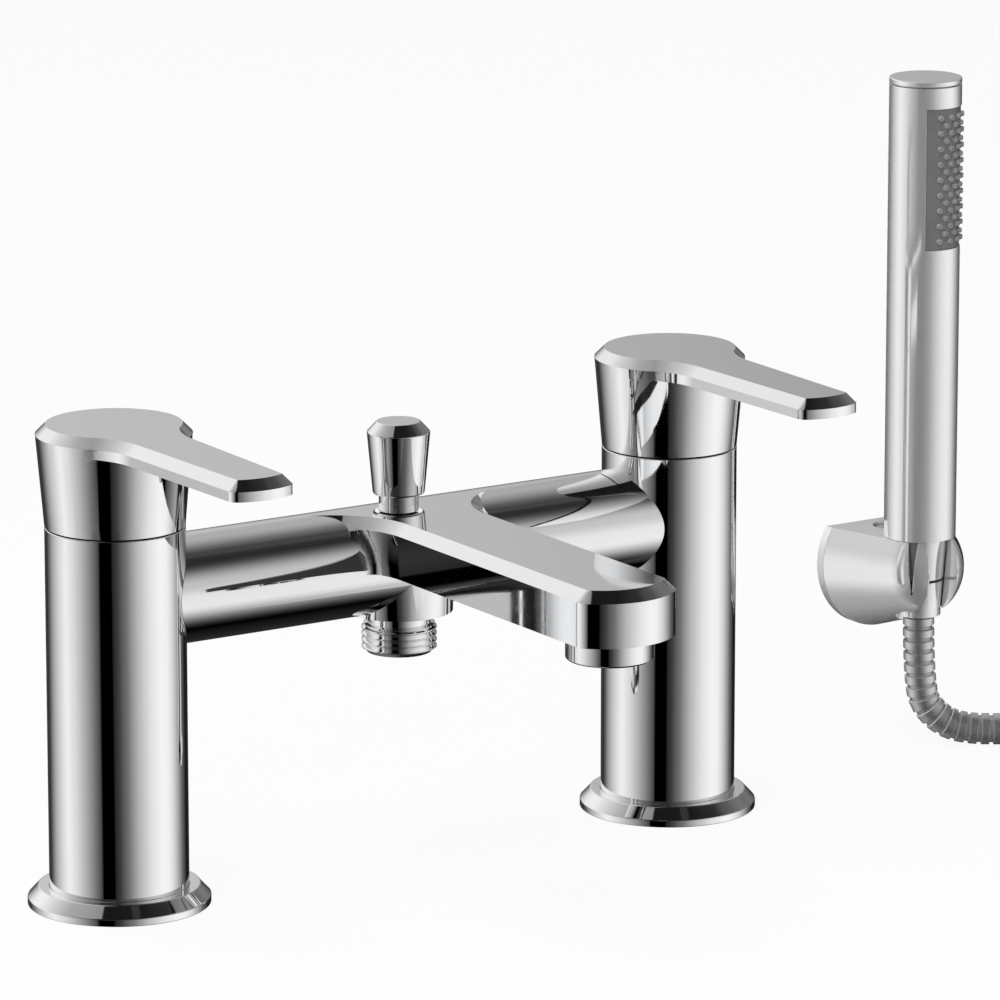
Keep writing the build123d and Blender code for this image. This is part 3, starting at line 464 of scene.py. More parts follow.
def cast(name: str, node: str, edge: float, segments: int = 2) -> Piece:
    """Takes a cast solid's shape from the model, merges its loose triangles and rounds its edges.

    Args:
        name: The new piece's name.
        node: The solid's node.
        edge: Width of the edge rounding, in millimetres.
        segments: Faces across the rounding.

    Returns:
        The new piece.
    """
    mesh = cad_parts[node].data.copy()
    piece = bpy.data.objects.new(name, mesh)
    bpy.context.scene.collection.objects.link(piece)
    open_up(piece)
    bpy.ops.mesh.remove_doubles(threshold=0.002 * MM)
    bpy.ops.mesh.dissolve_limited(angle_limit=math.radians(0.2))
    settle(piece)
    return eased(piece, edge, segments)


def fitted(piece: Piece, finish: Finish, body: Body, *nodes: str) -> Piece:
    """Gives a finished piece its finish and its body, and lets it stand for CAD nodes.

    Args:
        piece: The piece.
        finish: Its finish.
        body: The body it moves with.
        *nodes: The CAD nodes that it replaces.

    Returns:
        The same piece.
    """
    piece.data.materials.clear()
    piece.data.materials.append(finish.material())
    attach(piece, body.value)
    if nodes:
        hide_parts(*nodes)
    log.info("%s: %d faces, on %s", piece.name, len(piece.data.polygons), body.value)
    return piece


def touched_up(piece: Piece, finish: Finish, test: Callable) -> None:
    """Gives some faces of a fitted piece a second finish, used here for painted shade.

    Args:
        piece: The piece.
        finish: The second finish.
        test: Takes a face of the piece's mesh and says whether it gets the second finish.
    """
    piece.data.materials.append(finish.material())
    for face in piece.data.polygons:
        if test(face):
            face.material_index = 1


# Studio and camera


@dataclass
class Studio:
    """Plain pale floor and soft panels round the object, seen from the photograph's place.

    Each table holds the (bearing, tone) stops of one tier of the surroundings, in degrees: 0 where the
    camera stands, 90 to its right and 180 beyond the object. Blends are the elevations between which
    one tier gives way to the next. The window is a white patch beyond the object that only mirrors see.
    """

    lens: float = 263.04
    azimuth: float = -32.901
    elevation: float = 13.287
    position: Place = (-1.04049, -1.65965, 0.56309)
    sensor: float = 36.0
    far: float = 40.0
    window_bearing: float = 175.5
    window_height: float = -0.23
    window_half: float = 0.08
    floor_size: float = 14.0
    floor_gap: float = 0.2
    floor_tone: float = 0.93
    floor_glow: float = 0.92

    UNDER = (
        (-180.0, 0.05), (-130.0, 0.25), (-90.0, 0.3), (-50.0, 0.1), (-25.0, 0.0), (0.0, 0.0), (40.0, 0.04),
        (80.0, 0.02), (110.0, 0.0), (180.0, 0.02),
    )
    LOW = (
        (-180.0, 0.04), (-158.0, 0.05), (-146.0, 0.03), (-136.0, 0.13), (-120.0, 0.43), (-98.0, 0.8),
        (-87.0, 0.94), (-70.0, 0.74), (-48.0, 0.38), (-34.0, 0.17), (-24.5, 0.055), (-23.5, 0.0), (-3.5, 0.0),
        (-2.5, 0.018), (6.0, 0.05), (20.0, 0.18), (38.0, 0.5), (60.0, 0.82), (80.0, 0.98), (94.0, 0.94),
        (106.0, 0.72), (118.0, 0.42), (131.0, 0.14), (147.0, 0.01), (180.0, 0.03),
    )
    HIGH = (
        (-180.0, 0.53), (-176.0, 0.6), (-160.0, 0.8), (-131.0, 0.97), (-105.0, 0.85), (-80.0, 0.5),
        (-50.0, 0.2), (-25.0, 0.03), (0.0, 0.03), (30.0, 0.15), (52.0, 0.45), (70.0, 0.62), (90.0, 0.5),
        (115.0, 0.25), (140.0, 0.15), (165.0, 0.3), (176.0, 0.38), (180.0, 0.53),
    )
    TOP = (
        (-180.0, 0.5), (-130.0, 0.8), (-90.0, 0.42), (-50.0, 0.3), (-38.0, 0.27), (-35.0, 0.01),
        (-20.0, 0.01), (60.0, 0.012), (95.0, 0.03), (104.0, 0.06), (115.0, 0.06), (136.0, 0.15),
        (154.0, 0.3), (169.0, 0.45), (180.0, 0.5),
    )
    TIERS = (UNDER, LOW, HIGH, TOP)
    BLENDS = ((-60.0, -24.0), (-10.0, 18.0), (16.0, 52.0))
    LAMPS = (  # Name, place, aim, size and power
        ("top_lamp", (-0.6, -0.4, 2.2), (0.05, 0.0, 0.0), 1.6, 28.0),
        ("front_lamp", (-1.4, -1.6, 1.2), (0.05, 0.0, 0.1), 1.4, 20.0),
    )

    def camera(self) -> None:
        """Places the camera."""
        data = bpy.data.cameras.new("camera")
        data.lens = self.lens
        data.sensor_width = self.sensor
        data.clip_end = self.far
        camera = bpy.data.objects.new("camera", data)
        camera.location = self.position
        camera.rotation_euler = (math.radians(90.0 - self.elevation), 0.0, math.radians(self.azimuth))
        bpy.context.scene.collection.objects.link(camera)
        bpy.context.scene.camera = camera

    def world(self) -> None:
        """Builds the surroundings: upright light panels and dark gaps between them, by direction."""
        world = bpy.data.worlds.new("studio")
        bpy.context.scene.world = world
        world.use_nodes = True
        tree = world.node_tree
        tree.nodes.clear()

        def computed(operation: str, *values: object) -> Socket:
            """Adds one sum to the world's nodes and returns its output."""
            return wired(tree, "ShaderNodeMath", dict(enumerate(values)), operation=operation).outputs[0]

        def bands(value: Socket, tier: Sequence[Point]) -> Socket:
            """Turns a bearing into the tone that a tier has there.

            Args:
                value: The bearing, as a share of the full turn.
                tier: The tier's stops.

            Returns:
                The tone.
            """
            ramp = wired(tree, "ShaderNodeValToRGB", {"Fac": value})
            stops = ramp.color_ramp.elements
            for bearing, _ in tier[1:-1]:
                stops.new((bearing + 180.0) / 360.0)
            for stop, (_, tone) in zip(stops, tier):
                stop.color = (tone, tone, tone, 1.0)
            return ramp.outputs["Color"]

        def mixed(factor: object, first: object, second: object) -> Socket:
            """Mixes two tones and returns the outcome."""
            inputs = {"Factor": factor, "A": first, "B": second}
            return wired(tree, "ShaderNodeMix", inputs, data_type="RGBA").outputs["Result"]

        place = wired(tree, "ShaderNodeTexCoord").outputs["Generated"]
        x, y, z = wired(tree, "ShaderNodeSeparateXYZ", {0: place}).outputs
        turn = math.radians(self.azimuth)
        sine, cosine = math.sin(turn), math.cos(turn)
        towards = computed("SUBTRACT", computed("MULTIPLY", x, sine), computed("MULTIPLY", y, cosine))
        right = computed("ADD", computed("MULTIPLY", x, cosine), computed("MULTIPLY", y, sine))
        bearing = computed("ARCTAN2", right, towards)
        share = computed("ADD", computed("DIVIDE", bearing, math.tau), 0.5)
        level, *above = [bands(share, tier) for tier in self.TIERS]
        for tier, blend in zip(above, self.BLENDS):
            start, end = (math.sin(math.radians(elevation)) for elevation in blend)
            span = {"Value": z, "From Min": start, "From Max": end}
            rise = wired(tree, "ShaderNodeMapRange", span, interpolation_type="SMOOTHSTEP")
            level = mixed(rise.outputs["Result"], level, tier)
        beyond = computed("GREATER_THAN", computed("ABSOLUTE", bearing), math.radians(self.window_bearing))
        height = computed("ABSOLUTE", computed("SUBTRACT", z, self.window_height))
        window = computed("MULTIPLY", beyond, computed("LESS_THAN", height, self.window_half))
        rays = wired(tree, "ShaderNodeLightPath").outputs
        mirrored = computed("MULTIPLY", rays["Is Glossy Ray"], window)
        direct = computed("MAXIMUM", rays["Is Camera Ray"], rays["Is Transmission Ray"])
        shown = mixed(computed("MAXIMUM", direct, mirrored), level, (1.0, 1.0, 1.0, 1.0))
        background = wired(tree, "ShaderNodeBackground", {"Color": shown, "Strength": 1.0})
        wired(tree, "ShaderNodeOutputWorld", {"Surface": background.outputs["Background"]})

    def floor(self) -> None:
        """Lays the pale floor, which keeps the object's shadow."""
        rest()
        bpy.ops.mesh.primitive_plane_add(size=self.floor_size, location=(0.0, 0.0, -self.floor_gap * MM))
        floor = bpy.context.object
        floor.name = "floor"
        made = bpy.data.materials.new("pale_floor")
        made.use_nodes = True
        tree = made.node_tree
        tree.nodes.clear()
        matt = wired(tree, "ShaderNodeBsdfDiffuse", {"Color": (*[self.floor_tone] * 3, 1.0)}).outputs[0]
        glow = wired(tree, "ShaderNodeEmission", {"Color": (1.0, 1.0, 1.0, 1.0)}).outputs[0]
        rays = wired(tree, "ShaderNodeLightPath").outputs
        seen = rays["Is Camera Ray"]
        for ray in ("Is Glossy Ray", "Is Transmission Ray"):
            seen = wired(tree, "ShaderNodeMath", {0: seen, 1: rays[ray]}, operation="MAXIMUM").outputs[0]
        share = wired(tree, "ShaderNodeMath", {0: seen, 1: self.floor_glow}, operation="MULTIPLY").outputs[0]
        both = wired(tree, "ShaderNodeMixShader", {0: share, 1: matt, 2: glow}).outputs[0]
        wired(tree, "ShaderNodeOutputMaterial", {"Surface": both})
        floor.data.materials.append(made)
        floor.visible_glossy = False

    def lamps(self) -> None:
        """Hangs one wide soft lamp over the object and a second one in front of it."""
        for name, place, aim, size, power in self.LAMPS:
            data = bpy.data.lights.new(name, "AREA")
            data.size = size
            data.energy = power
            lamp = bpy.data.objects.new(name, data)
            lamp.location = place
            lamp.rotation_euler = (Vector(aim) - Vector(place)).to_track_quat("-Z", "Y").to_euler()
            lamp.visible_glossy = False
            bpy.context.scene.collection.objects.link(lamp)

    def build(self) -> None:
        """Sets up the camera, the world, the floor and the lamps."""
        self.camera()
        self.world()
        self.floor()
        self.lamps()
        bpy.context.scene.view_settings.view_transform = "Standard"


# Hose


@dataclass
class Hose:
    """Ribbed metal hose: down from the nut, over the deck and into its put-away coil, up to its end nut."""

    diameter: float = 9.2
    root_diameter: float = 7.9
    rib_pitch: float = 3.5
    plain_end: float = 5.0
    length: float = 1499.2
    floor: float = 4.65
    centre: Point = (220.4, -109.247)
    way: float = -77.9
    outer_radius: float = 59.4
    pitch: float = 9.7
    turn_quarters: int = 7
    climb_quarters: int = 2
    quarter_points: int = 3
    tail: Place = (24.0, 34.0, 10.0)
    tail_height: float = 12.05
    curve_steps: int = 12
    around: int = 20
    shading: float = 34.0

    ROUTE = (
        (188.1, 14.0, 44.9), (188.1, 14.0, 16.94), (191.88, 11.56, 9.15), (198.42, 7.32, 4.65),
        (213.29, -2.3, 4.65), (238.34, -18.5, 4.65), (272.23, -67.62, 4.65),
    )
    RIB = ((0.3, 0.0), (0.325, 0.9), (0.345, 1.0), (0.945, 1.0), (0.965, 0.9), (0.99, 0.0))

    def points(self) -> list[Place]:
        """Finds the control points of the hose's route.

        Returns:
            The listed points, the coil's turns quarter by quarter and the tail, in millimetres.
        """
        points = list(self.ROUTE)
        half_way = self.turn_quarters + self.climb_quarters / 2
        inner = self.outer_radius - self.pitch * half_way / 4
        total = 2 * self.turn_quarters + self.climb_quarters
        for index in range(self.quarter_points * total):
            quarter = (index + 0.5) / self.quarter_points
            past = quarter - half_way
            radius = (inner + self.pitch * abs(past) / 4) / math.cos(math.radians(45.0 / self.quarter_points))
            bearing = math.radians(self.way + 90.0 - 90.0 * quarter)
            lift = (min(max(past / self.climb_quarters, -0.5), 0.5) + 0.5) * self.pitch
            points.append(
                (
                    self.centre[0] + radius * math.cos(bearing),
                    self.centre[1] + radius * math.sin(bearing),
                    self.floor + lift,
                )
            )
        along = Vector((math.cos(math.radians(self.way)), math.sin(math.radians(self.way)), 0.0))
        out = Vector((-along.y, along.x, 0.0))
        end = Vector((*self.centre, self.floor + self.pitch)) + out * self.outer_radius
        level, drop, straight = self.tail
        points.append(tuple(end + along * level))
        low = end + along * (level + drop)
        low.z = self.tail_height
        points.append(tuple(low))
        points.append(tuple(low + along * straight))
        return points

    def line(self) -> list[Vector]:
        """Reads the smooth line that the route's spline follows.

        Returns:
            Points along the line, in metres.
        """
        curve = bpy.data.curves.new("hose_route", "CURVE")
        curve.dimensions = "3D"
        curve.resolution_u = self.curve_steps
        spline = curve.splines.new("NURBS")
        points = self.points()
        spline.points.add(len(points) - 1)
        for knot, (x, y, z) in zip(spline.points, points):
            knot.co = (x * MM, y * MM, z * MM, 1.0)
        spline.order_u = 3
        spline.use_endpoint_u = True
        guide = bpy.data.objects.new("hose_route", curve)
        bpy.context.scene.collection.objects.link(guide)
        bpy.context.view_layer.update()
        read = bpy.data.meshes.new_from_object(guide)
        line = [vertex.co.copy() for vertex in read.vertices]
        bpy.data.objects.remove(guide)
        return line

    def stations(self, whole: float) -> list[Point]:
        """Spaces the tube's rings out: a plain end, the ribs and the other plain end.

        Args:
            whole: The line's length, in metres.

        Returns:
            (place along the line, radius) pairs, in metres.
        """
        plain = self.plain_end * MM
        root, crest = self.root_diameter / 2 * MM, self.diameter / 2 * MM
        ribs = round((whole - 2 * plain) / (self.rib_pitch * MM))
        pitch = (whole - 2 * plain) / ribs
        stations = [(0.0, root), (plain, root)]
        for rib in range(ribs):
            start = plain + rib * pitch
            stations += [
                (start + share * pitch, root + (crest - root) * height) for share, height in self.RIB
            ]
        return [*stations, (whole - plain, root), (whole, root)]

    def tube(self, line: list[Vector], reach: list[float], stations: list[Point]) -> Piece:
        """Lays a ring at each station, square to the line, and joins the rings.

        Args:
            line: Points along the line.
            reach: How far along the line each point lies.
            stations: (place along the line, radius) pairs.

        Returns:
            The tube, closed at both ends.
        """
        verts, faces = [], []
        index = 0
        side = Vector((0.0, 1.0, 0.0))
        for place, radius in stations:
            while index < len(reach) - 2 and reach[index + 1] < place:
                index += 1
            share = (place - reach[index]) / (reach[index + 1] - reach[index])
            centre = line[index].lerp(line[index + 1], share)
            before = (line[index] - line[max(index - 1, 0)]) or (line[1] - line[0])
            here = (line[index + 1] - line[index]).normalized()
            after = (line[min(index + 2, len(line) - 1)] - line[index + 1]).normalized() or here
            start_way = (before.normalized() + here).normalized()
            end_way = (here + after).normalized()
            way = start_way.lerp(end_way, share).normalized()
            side = (side - way * side.dot(way)).normalized()
            over = way.cross(side)
            for step in range(self.around):
                turn = math.tau * step / self.around
                verts.append(centre + (side * math.cos(turn) + over * math.sin(turn)) * radius)
        for band in range(len(stations) - 1):
            for step in range(self.around):
                one, two = band * self.around + step, band * self.around + (step + 1) % self.around
                faces.append((one, two, two + self.around, one + self.around))
        faces.append(tuple(reversed(range(self.around))))
        faces.append(tuple(range(len(verts) - self.around, len(verts))))
        mesh = bpy.data.meshes.new("hose")
        mesh.from_pydata(verts, [], faces)
        tube = bpy.data.objects.new("hose", mesh)
        bpy.context.scene.collection.objects.link(tube)
        take(tube)
        bpy.ops.object.shade_smooth_by_angle(angle=math.radians(self.shading))
        return tube

    def build(self) -> None:
        line = self.line()
        reach = [0.0]
        for start, end in zip(line, line[1:]):
            reach.append(reach[-1] + (end - start).length)
        stations = self.stations(reach[-1])
        hose = self.tube(line, reach, stations)
        fitted(hose, HOSE_STEEL, Body.MIXER, "hose_hanging", "hose_coil")
        root = stations[0][1]
        # The groove faces between the ribs get painted shade.
        grooves = {
            band for band in range(1, len(stations) - 2) if stations[band][1] == root == stations[band + 1][1]
        }
        touched_up(hose, HOSE_GROOVE_SHADE, lambda face: face.index // self.around in grooves)
        hose.visible_glossy = False
        hose.parent = None
        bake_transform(hose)
        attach(hose, Body.MIXER.value)


# Pillars


@dataclass
class Pillar:
    """One deck leg: turned tube, bevelled flange and the threaded fixing below the deck."""

    side: str
    x: float
    radius: float = 19.05
    foot: float = 2.0
    top: float = 105.1
    inlet_bore: float = 10.0
    neck_bore: float = 11.0
    flange_radius: float = 25.0
    flange_height: float = 5.2
    flange_face: float = 2.0
    flange_slope: float = 3.0
    tail_radius: float = 13.22
    tail_bore: float = 8.0
    tail_length: float = 62.0
    tail_around: int = 96
    thread_depth: float = 1.1
    thread_ends: Point = (0.6, 1.4)
    spigot_top: float = 20.0
    nut_flats: float = 36.0
    nut_heights: Point = (-30.0, -22.0)
    nut_reach: float = 21.2
    nut_chamfer: Point = (4.0, 2.0)
    washer_radius: float = 21.0
    washer_top: float = -20.0

    CHAMBER = ((15.0, 92.0), (15.0, 62.0), (6.5, 62.0), (6.5, 56.0))  # (radius, height) pairs

    def build(self) -> None:
        """Turns the leg and its flange, and builds the fixing below the deck."""
        leg = turned(
            f"{self.side}_pillar_tube",
            [
                (self.inlet_bore, self.foot), (self.radius, self.foot), (self.radius, self.top),
                (self.neck_bore, self.top), (self.neck_bore, self.CHAMBER[0][1]), *self.CHAMBER,
                (self.inlet_bore, self.CHAMBER[-1][1]),
            ],
            self.x,
            hollow=True,
        )
        fitted(eased(leg, 0.35, 3), CHROME, Body.MIXER, f"{self.side}_pillar")
        inside = self.radius + FIT
        flange = turned(
            f"{self.side}_deck_flange",
            [
                (inside, 0.0), (self.flange_radius, 0.0), (self.flange_radius, self.flange_face),
                (self.flange_radius - self.flange_slope, self.flange_height), (inside, self.flange_height),
            ],
            self.x,
            hollow=True,
        )
        fitted(eased(flange, 0.25, 3), CHROME, Body.MIXER, f"{self.side}_flange")
        self.fixing()

    def fixing(self) -> None:
        """Turns the threaded tail and the washer, and shapes the hexagon backnut."""
        low, radius, depth = -self.tail_length, self.tail_radius, self.thread_depth
        lead, end = self.thread_ends
        spigot = self.inlet_bore - FIT
        tail = turned(
            f"{self.side}_threaded_tail",
            [
                (self.tail_bore, low), (radius - 1.2, low), *threaded(radius, low + lead, end, depth),
                (radius - depth, self.foot), (spigot, self.foot), (spigot, self.spigot_top),
                (self.tail_bore, self.spigot_top),
            ],
            self.x,
            around=self.tail_around,
            hollow=True,
        )
        tail = fitted(eased(tail, 0.0), BRASS, Body.MIXER, f"{self.side}_tail")
        bottom, top = self.nut_heights
        corner = self.nut_flats / 2 / math.cos(math.pi / 6)
        reach, (inset, drop) = self.nut_reach, self.nut_chamfer
        nut = turned(f"{self.side}_hexagon_backnut", [(corner, bottom), (corner, top)], self.x, around=6)
        edge = turned(
            "chamfer",
            [(reach - inset, bottom), (reach, bottom + drop), (reach, top - drop), (reach - inset, top)],
            self.x,
        )
        carved(nut, edge, "INTERSECT")
        carved(nut, turned("bore", [(radius + FIT, bottom - 1.0), (radius + FIT, top + 1.0)], self.x))
        nut = fitted(eased(cleaned(nut), 0.2, clamp=False), BRASS, Body.MIXER, f"{self.side}_backnut")
        washer = turned(
            f"{self.side}_deck_washer",
            ring(self.washer_radius, radius + FIT, top, self.washer_top),
            self.x,
            hollow=True,
        )
        washer = fitted(eased(washer, 0.25), STEEL, Body.MIXER, f"{self.side}_washer")
        for piece in (tail, nut, washer):
            piece.visible_glossy = False


# Levers


@dataclass
class Lever:
    """One quarter-turn lever: flared head and bevelled blade in one casting."""

    side: str
    body: Body
    rounding: float = 0.22

    def build(self) -> None:
        """Builds the lever on its moving body."""
        lever = cast(f"{self.side}_lever_body", f"{self.side}_lever", self.rounding)
        fitted(lever, CHROME, self.body, f"{self.side}_lever")


# Bridge with the spout


@dataclass
class Bridge:
    """Bar and flat spout with the aerator, the diverter knob and the shower outlet.

    The profiles are (radius, height) pairs in millimetres.
    """

    aerator_y: float = -104.7
    rounding: float = 0.2
    outlet_radius: float = 10.45
    outlet_thread: Point = (58.5, 65.9)
    outlet_depth: float = 1.0

    OUTLET_FOOT = ((7.5, 58.0), (9.0, 58.0))
    OUTLET_NECK = (
        (9.65, 65.9), (10.0, 66.0), (8.75, 66.2), (8.75, 69.7), (8.95, 69.7), (8.95, 74.8), (6.5, 74.8),
        (6.5, 65.8), (7.5, 65.8),
    )
    KNOB = ((6.8, 102.6), (7.2, 103.0), (8.76, 120.0), (6.0, 123.0))
    BUSH = ((2.55, 102.3), (5.5, 102.3), (5.5, 96.52), (4.2, 96.52), (4.2, 98.52), (2.55, 98.52))
    AERATOR = (
        (8.4, 78.42), (11.3, 78.42), (11.8, 78.92), (11.8, 84.5), (11.5, 85.02), (10.0, 85.02), (10.0, 90.02),
        (9.0, 90.02), (9.0, 79.62), (8.4, 79.62),
    )

    def build(self) -> None:
        """Builds the casting and what is screwed into it."""
        fitted(cast("bridge_and_spout", "cross_body", self.rounding), CHROME, Body.MIXER, "cross_body")
        ridges = threaded(self.outlet_radius, *self.outlet_thread, self.outlet_depth)
        nipple = turned("shower_outlet_nipple", [*self.OUTLET_FOOT, *ridges, *self.OUTLET_NECK], hollow=True)
        fitted(eased(nipple, 0.08), CHROME, Body.MIXER, "shower_nipple")
        knob = turned("diverter_pull_knob", self.KNOB)
        fitted(eased(knob, 0.25, 3), CHROME, Body.DIVERTER, "diverter_knob")
        bush = turned("diverter_gland", self.BUSH, hollow=True)
        fitted(eased(bush, 0.1), SOFT_CHROME, Body.MIXER, "diverter_bush")
        aerator = turned("aerator_ring", self.AERATOR, y=self.aerator_y, hollow=True)
        fitted(eased(aerator, 0.15), CHROME, Body.MIXER, "aerator_housing")


# Hand shower and its bracket


@dataclass
class HandShower:
    """Slim tube with its spray strip and cap, standing in the wall bracket.

    The profiles are (radius, height) pairs in millimetres, and a nozzle's starts below the strip's face.
    """

    x: float = 188.1
    y: float = 14.0
    radius: float = 10.5
    rounding: float = 0.15
    facing: float = -70.9
    arc: float = 104.0
    arc_steps: int = 52
    strip_bottom: float = 149.7
    strip_top: float = 190.8
    strip_inner: float = 9.0
    strip_recess: float = 0.3
    nozzle_rows: int = 9
    nozzle_columns: int = 7
    nozzle_turn: float = 10.0
    nozzle_pitch: float = 4.51
    nozzle_sink: float = 0.3
    nozzle_around: int = 14

    CAP = ((8.95, 194.2), (8.95, 197.2), (10.5, 197.2), (10.5, 198.8))
    NOZZLE = ((0.9, 0.0), (0.86, 0.7), (0.72, 1.2), (0.6, 1.3), (0.28, 1.3), (0.24, 0.9))

    def strip(self) -> None:
        """Spins the strip's section round the tube's axis."""
        start = math.radians(self.facing - self.arc / 2)
        inner, outer = self.strip_inner, self.radius - self.strip_recess
        section = ring(outer, inner, self.strip_bottom, self.strip_top)
        axis = (self.x * MM, self.y * MM, 0.0)
        rest()
        bpy.ops.mesh.primitive_plane_add(size=MM, location=(0.0, 0.0, 0.0))
        strip = bpy.context.object
        strip.name = "spray_face"
        bpy.ops.object.mode_set(mode="EDIT")
        mesh = bmesh.from_edit_mesh(strip.data)
        for vertex, (radius, height) in zip(mesh.faces[:][0].verts, section):
            vertex.co = (
                (self.x + radius * math.cos(start)) * MM,
                (self.y + radius * math.sin(start)) * MM,
                height * MM,
            )
        bmesh.update_edit_mesh(strip.data)
        bpy.ops.mesh.select_all(action="SELECT")
        bpy.ops.mesh.spin(
            steps=self.arc_steps, angle=-math.radians(self.arc), center=axis, axis=(0.0, 0.0, 1.0)
        )
        fitted(eased(settle(strip), 0.15), GREY_PLASTIC, Body.HANDSET, "spray_strip")

    def nozzles(self) -> None:
        """Turns one nozzle and copies it over the strip in staggered columns."""
        places = []
        middle = (self.strip_bottom + self.strip_top) / 2
        for column in range(self.nozzle_columns):
            bearing = self.facing + (column - (self.nozzle_columns - 1) / 2) * self.nozzle_turn
            rows = self.nozzle_rows - column % 2
            places += [(bearing, middle + (row - (rows - 1) / 2) * self.nozzle_pitch) for row in range(rows)]
        foot = self.radius - self.strip_recess - self.nozzle_sink
        model = turned("spray_nozzles", self.NOZZLE, around=self.nozzle_around)
        pieces = [model]
        for _ in places[1:]:
            twin = model.copy()
            twin.data = model.data.copy()
            bpy.context.scene.collection.objects.link(twin)
            pieces.append(twin)
        for piece, (bearing, height) in zip(pieces, places):
            turn = math.radians(bearing)
            outward = Vector((math.cos(turn), math.sin(turn), 0.0))
            piece.rotation_euler = outward.to_track_quat("Z", "Y").to_euler()
            piece.location = (Vector((self.x, self.y, height)) + outward * foot) * MM
        rest()
        for piece in pieces:
            piece.select_set(True)
        bpy.context.view_layer.objects.active = model
        bpy.ops.object.join()
        bpy.ops.object.transform_apply(location=True, rotation=True, scale=True)
        fitted(eased(model, 0.0), NOZZLE_RUBBER, Body.HANDSET)

    def build(self) -> None:
        """Builds the hand shower."""
        tube = cast("handset_tube", "handset_body", self.rounding)
        fitted(tube, SATIN_CHROME, Body.HANDSET, "handset_body")
        cap = turned("handset_end_cap", self.CAP, self.x, self.y)
        fitted(eased(cap, 0.3, 3), SATIN_CHROME, Body.HANDSET, "handset_cap")
        self.strip()
        self.nozzles()


